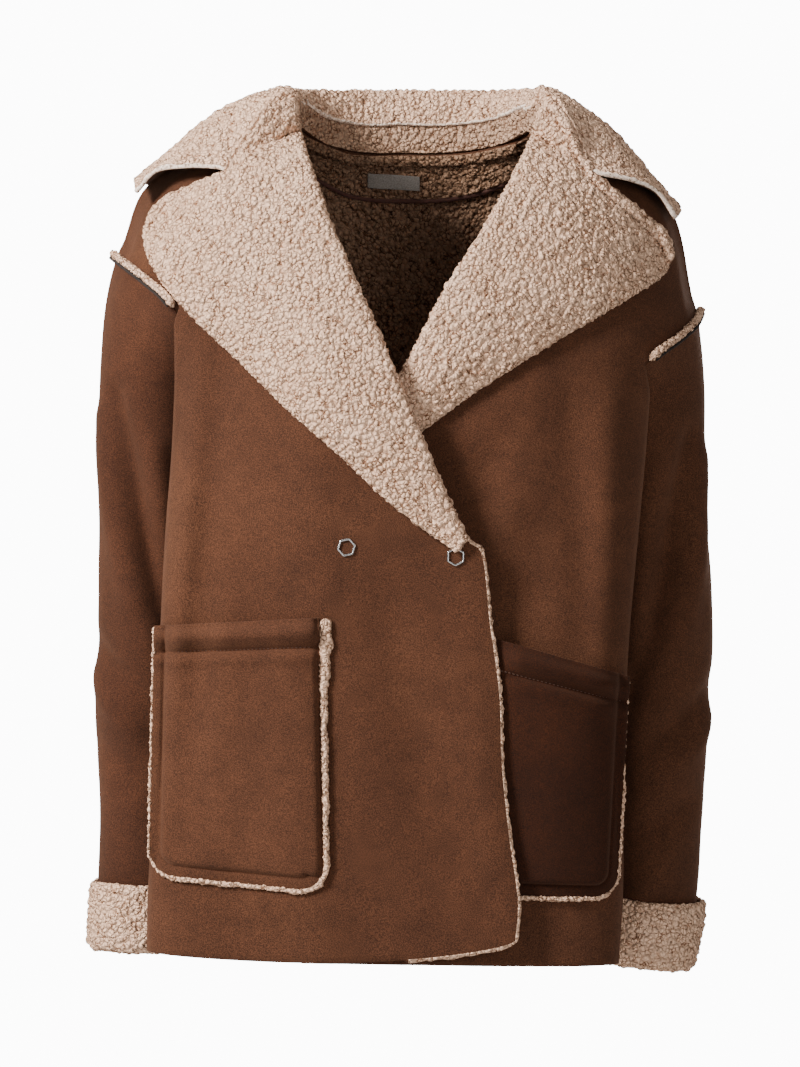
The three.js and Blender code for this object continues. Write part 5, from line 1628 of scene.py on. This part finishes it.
def armhole_path(side, proud, lower):
    """A line along the armhole, some way out of the coat and lower, with its outward ways."""
    shares = np.linspace(*ARMHOLE_SHOWN, 60)
    fine = even_path(np.array([armhole_at(side, s) for s in shares]), 1.9)
    centre = np.array([side.sign * 150.0, 0.0, -260.0])
    out_way = unit((fine - centre) * (1, 1, 0.55))
    return fine + out_way * proud + np.array([side.sign * lower, 0, -lower]), out_way


def armhole_shadow(side, name, seed):
    """A near-black strand that is painted shadow just below the armhole's pale edge."""
    path, out_way = armhole_path(side, 5.0, 3.3)
    half = np.full(len(path), 1.2)
    return strand(name, path[2:-2], out_way[2:-2], half[2:-2], half[2:-2], seed, kind="cut", curly=0.15)


def armhole_edge(side, name, seed):
    """The armhole's cut edges, which stand proud of the seam from the front over the shoulder."""
    path, out_way = armhole_path(side, 5.6, 0.0)
    half = np.full(len(path), 2.7)
    return strand(name, path, out_way, half, half * 1.05, seed)


# ---- Snaps ----
SNAP_ACROSS = 17.0
SNAP_WIRE = 1.0             # half the wire's thickness
SNAP_CORNERS = 6
SNAP_BEND = 0.18            # radius of a corner as a share of the ring's
SNAPS = [
    dict(name="upper_snap", x=-46, z=-385, turn=0.2),
    dict(name="lower_snap", x=48, z=-393, turn=0.5),
]


def bent_ring(radius, turn):
    """Points of a six-sided line with rounded corners, in its own plane."""
    bend = radius * SNAP_BEND
    middle = radius - bend / math.cos(math.pi / SNAP_CORNERS)
    path = []
    for k in range(SNAP_CORNERS):
        corner = 2 * np.pi * k / SNAP_CORNERS + turn
        for share in np.linspace(-0.5, 0.5, 5):
            angle = corner + share * 2 * math.pi / SNAP_CORNERS
            path.append(middle * np.array([math.cos(corner), math.sin(corner)])
                        + bend * np.array([math.cos(angle), math.sin(angle)]))
    return np.array(path)


def snap_ring(snap):
    """A six-sided wire ring with rounded corners, lying on the front."""
    around = 10
    x, z = np.array([float(snap["x"])]), np.array([float(snap["z"])])
    seat = on_panel(RIGHT.y, x, z, CLOTH / 2 + SNAP_WIRE * 0.9)[0]
    up = unit(panel_way(RIGHT.y, x, z))[0]
    first = unit(np.cross([0, 0, 1.0], up))
    second = np.cross(up, first)
    path = bent_ring(SNAP_ACROSS / 2 - SNAP_WIRE, snap["turn"])
    line = seat + path[:, :1] * first + path[:, 1:] * second
    along = unit(np.roll(line, -1, axis=0) - np.roll(line, 1, axis=0))
    out = np.cross(along, up)
    angle = round_angles(around)
    points = line[:, None] + SNAP_WIRE * (out[:, None] * np.cos(angle)[None, :, None]
                                          + up[None, None] * np.sin(angle)[None, :, None])
    number = np.arange(len(line) * around).reshape(len(line), around)
    after, beside = np.roll(number, -1, axis=0), np.roll(number, -1, axis=1)
    corners = (number, beside, np.roll(after, -1, axis=1), after)
    quads = np.stack([corner.ravel() for corner in corners], axis=1)
    return mesh_object(snap["name"] + "_ring", points.reshape(-1, 3), quads, np.zeros(len(quads)),
                       [MATERIALS["metal"]])


# ---- Making the coat ----
def stands_for(obj, node):
    """Hangs a piece on the coat in place of one of the CAD model's nodes."""
    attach(obj, "root")
    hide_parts(node)


def make_fronts():
    for side, flat, area in ((RIGHT, (0.60, 0.80), 0.36), (LEFT, (0.58, 0.80), 0.34)):
        grids, seams, hidden = front_grids(side)
        obj = shell(side.name + "_front_cloth", grids, CLOTH, "suede", "pile", rim_out=2.1,
                    seams=seams, hidden=hidden)
        stands_for(obj, side.name + "_front")


def make_back():
    grid = back_grid()
    # Its inner pile is the darker copy with painted shade.
    obj = shell("back_cloth", [(grid, True)], CLOTH, "suede", "inside", seed=13, rim_out=1.2,
                seams=np.vstack([grid[:, 0], grid[:, -1], grid[-1], grid[0]]))
    stands_for(obj, "back")


def make_stand(seam, middle, top):
    grid = stand_grid(seam, middle, top)
    # Its pile is the darker copy with painted shade.
    obj = shell("collar_stand_cloth", [(grid, True)], CLOTH, "suede", "flattened", rim="flattened",
                seed=23, seams=np.vstack([grid[0], grid[-1], grid[:, 0], grid[:, -1]]))
    stands_for(obj, "collar_stand")


def make_collar(top):
    grid = collar_grid(top)
    gorge = int(grid.shape[1] * GORGE_SHARE) + 1
    obj = shell("collar_cloth", [(grid, False)], CLOTH, "suede", "pile", rim="raw", rim_out=1.5,
                seed=33, seams=np.vstack([grid[0, :gorge], grid[-1, :gorge]]), sewn_kind="pile")
    stands_for(obj, "collar")


def make_facing(back_neck):
    """The neck facing with the tape along its foot and the label on it."""
    obj = shell("facing_tape_cloth", [(tape_grid(back_neck), True)], TAPE, "tape", "tape",
                rim="tape", rim_out=0.3)
    stands_for(obj, "facing_tape")
    # The facing shows the darker pile with painted shade.
    obj = shell("neck_facing_cloth", [(facing_grid(back_neck), True)], FACING_CLOTH, "inside",
                "suede", rim="inside", seed=43)
    stands_for(obj, "neck_facing")
    obj = shell("neck_label_cloth", [(label_grid(), False)], LABEL_CLOTH, "satin", "satin",
                rim="satin", rim_out=0.2)
    stands_for(obj, "neck_label")


def make_neck():
    seam, middle, top = neck_lines()
    make_stand(seam, middle, top)
    make_collar(top)
    make_facing(seam[2:-2])


def make_trim(obj):
    """Hangs on the coat a piece that the CAD model has no node for."""
    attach(obj, "root")


def make_sleeves():
    # The right sleeve is made of the darker suede with painted shade.
    for side, seed, nap in ((RIGHT, 51, "sleeve_suede"), (LEFT, 61, "suede")):
        grid = sleeve_grid(side, seed)
        # The sleeve's inner pile is the darker copy with painted shade.
        obj = shell(side.name + "_sleeve_cloth", [(grid, side.sign > 0)], CLOTH, nap, "inside",
                    seed=seed, high=0.9, seams=np.vstack([grid[0], grid[-1]]), sewn_kind=nap)
        stands_for(obj, side.name + "_sleeve")
        obj = shell(side.name + "_cuff_cloth", [(cuff_grid(side, seed), side.sign > 0)], CLOTH,
                    "pile", "suede", seed=seed + 5)
        stands_for(obj, side.name + "_cuff")
        obj = armhole_edge(side, side.name + "_armhole_edge_pile", seed + 7)
        stands_for(obj, side.name + "_armhole_edge")
        # A dark strand that is painted shadow below the armhole's edge.
        make_trim(armhole_shadow(side, side.name + "_armhole_cut_edge", seed + 9))


def pocket_stitches(side, pocket, tall):
    """The row of stitches below a pocket's padded hem."""
    across = np.linspace(0.03, 0.97, 60)
    line = pocket_surface(side, pocket, across, np.full_like(across, HEM / tall), CLOTH / 2 + 0.25)
    return stitch_row(side.name + "_pocket_stitches", line, np.tile([0.0, -1.0, 0.0], (len(line), 1)))


def make_pockets():
    # The left pocket is made of the darker suede with painted shade.
    for side, pocket, seed, nap in ((RIGHT, RIGHT_POCKET, 81, "suede"),
                                    (LEFT, LEFT_POCKET, 91, "turned_suede")):
        obj = shell(side.name + "_pocket_cloth", [(pocket_grid(side, pocket), side.sign > 0)], CLOTH,
                    nap, "pile", rim=nap, rim_out=0.8, seed=seed, high=0.8)
        stands_for(obj, side.name + "_pocket")
        edge = pocket_edge(side, pocket, side.name + "_pocket_edge_pile", seed + 3)
        stands_for(edge, side.name + "_pocket_edge")
        wide, tall = pocket_size(pocket)
        stitches = pocket_stitches(side, pocket, tall)
        make_trim(stitches)


def make_snaps():
    for snap in SNAPS:
        stands_for(snap_ring(snap), snap["name"])


# ---- Studio ----
def area_light(name, place, aim, size, power, colour):
    light = bpy.data.lights.new(name, "AREA")
    light.shape = "RECTANGLE"
    light.size, light.size_y = size
    light.energy = power
    light.color = colour
    obj = bpy.data.objects.new(name, light)
    bpy.context.scene.collection.objects.link(obj)
    place, aim = np.array(place, float), np.array(aim, float)
    obj.location = place
    obj.rotation_euler = Vector(aim - place).to_track_quat("-Z", "Y").to_euler()


# Places and sizes in the studio are metres.
FLOOR_HALF = 30.0
FLOOR_Z = -1.3
LENS_AT = (0.0, -3.6, -0.373)
AMBIENT = 0.26              # strength of the light from all round
BACKDROP = 12.0             # strength of the plain white that is seen behind the coat
LIGHTS = [
    dict(name="key", place=(-2.9, -2.0, 1.7), aim=(0, 0, -0.35), size=(0.9, 1.2), power=400,
         colour=(1.0, 0.97, 0.94)),
    dict(name="fill", place=(1.4, -3.4, 0.1), aim=(0, 0, -0.4), size=(1.6, 1.8), power=36,
         colour=(1.0, 0.98, 0.96)),
    dict(name="top", place=(-0.5, 0.2, 2.0), aim=(0, 0, -0.3), size=(1.4, 1.2), power=22,
         colour=(1.0, 0.99, 0.97)),
    dict(name="behind", place=(0.9, 3.4, 0.3), aim=(0, 0, -0.4), size=(1.8, 1.8), power=80,
         colour=(1.0, 0.98, 0.96)),
]


def seen_white(tree, kind, other, output):
    """What the camera sees is plain white; the light that reaches the coat comes from other."""
    white = node(tree, kind, {"Color": (1, 1, 1, 1), "Strength": BACKDROP})
    seen = node(tree, "ShaderNodeLightPath", {}).outputs["Is Camera Ray"]
    both = node(tree, "ShaderNodeMixShader", {"Fac": seen, 1: other, 2: white.outputs[0]})
    put(tree, output.inputs["Surface"], both.outputs["Shader"])


def make_floor():
    """A wide plain floor that is seen as white."""
    mesh = bpy.data.meshes.new("floor")
    corners = [(-1, -1), (1, -1), (1, 1), (-1, 1)]
    mesh.from_pydata([(x * FLOOR_HALF, y * FLOOR_HALF, FLOOR_Z) for x, y in corners], [],
                     [(0, 1, 2, 3)])
    floor = bpy.data.objects.new("floor", mesh)
    material, tree = new_material("floor")
    set_shader(tree, {"Base Color": (0.5, 0.5, 0.5, 1), "Roughness": 0.9})
    seen_white(tree, "ShaderNodeEmission", tree.nodes["Principled BSDF"].outputs["BSDF"],
               tree.nodes["Material Output"])
    mesh.materials.append(material)
    bpy.context.scene.collection.objects.link(floor)


def make_surroundings():
    """Soft light from all round, seen as white."""
    world = bpy.data.worlds.new("studio")
    world.use_nodes = True
    tree = world.node_tree
    soft = tree.nodes["Background"]
    soft.inputs["Color"].default_value = (1, 1, 1, 1)
    soft.inputs["Strength"].default_value = AMBIENT
    seen_white(tree, "ShaderNodeBackground", soft.outputs["Background"], tree.nodes["World Output"])
    bpy.context.scene.world = world


def studio():
    make_floor()
    make_surroundings()
    for light in LIGHTS:
        area_light(**light)


def camera():
    data = bpy.data.cameras.new("camera")
    data.lens = 135.0
    data.sensor_width = 36.0
    data.sensor_fit = "AUTO"
    data.clip_end = 100.0
    obj = bpy.data.objects.new("camera", data)
    obj.location = LENS_AT
    obj.rotation_euler = (math.pi / 2, 0.0, 0.0)
    bpy.context.scene.collection.objects.link(obj)
    bpy.context.scene.camera = obj


camera()
studio()
make_fronts()
make_back()
make_neck()
make_sleeves()
make_pockets()
make_snaps()
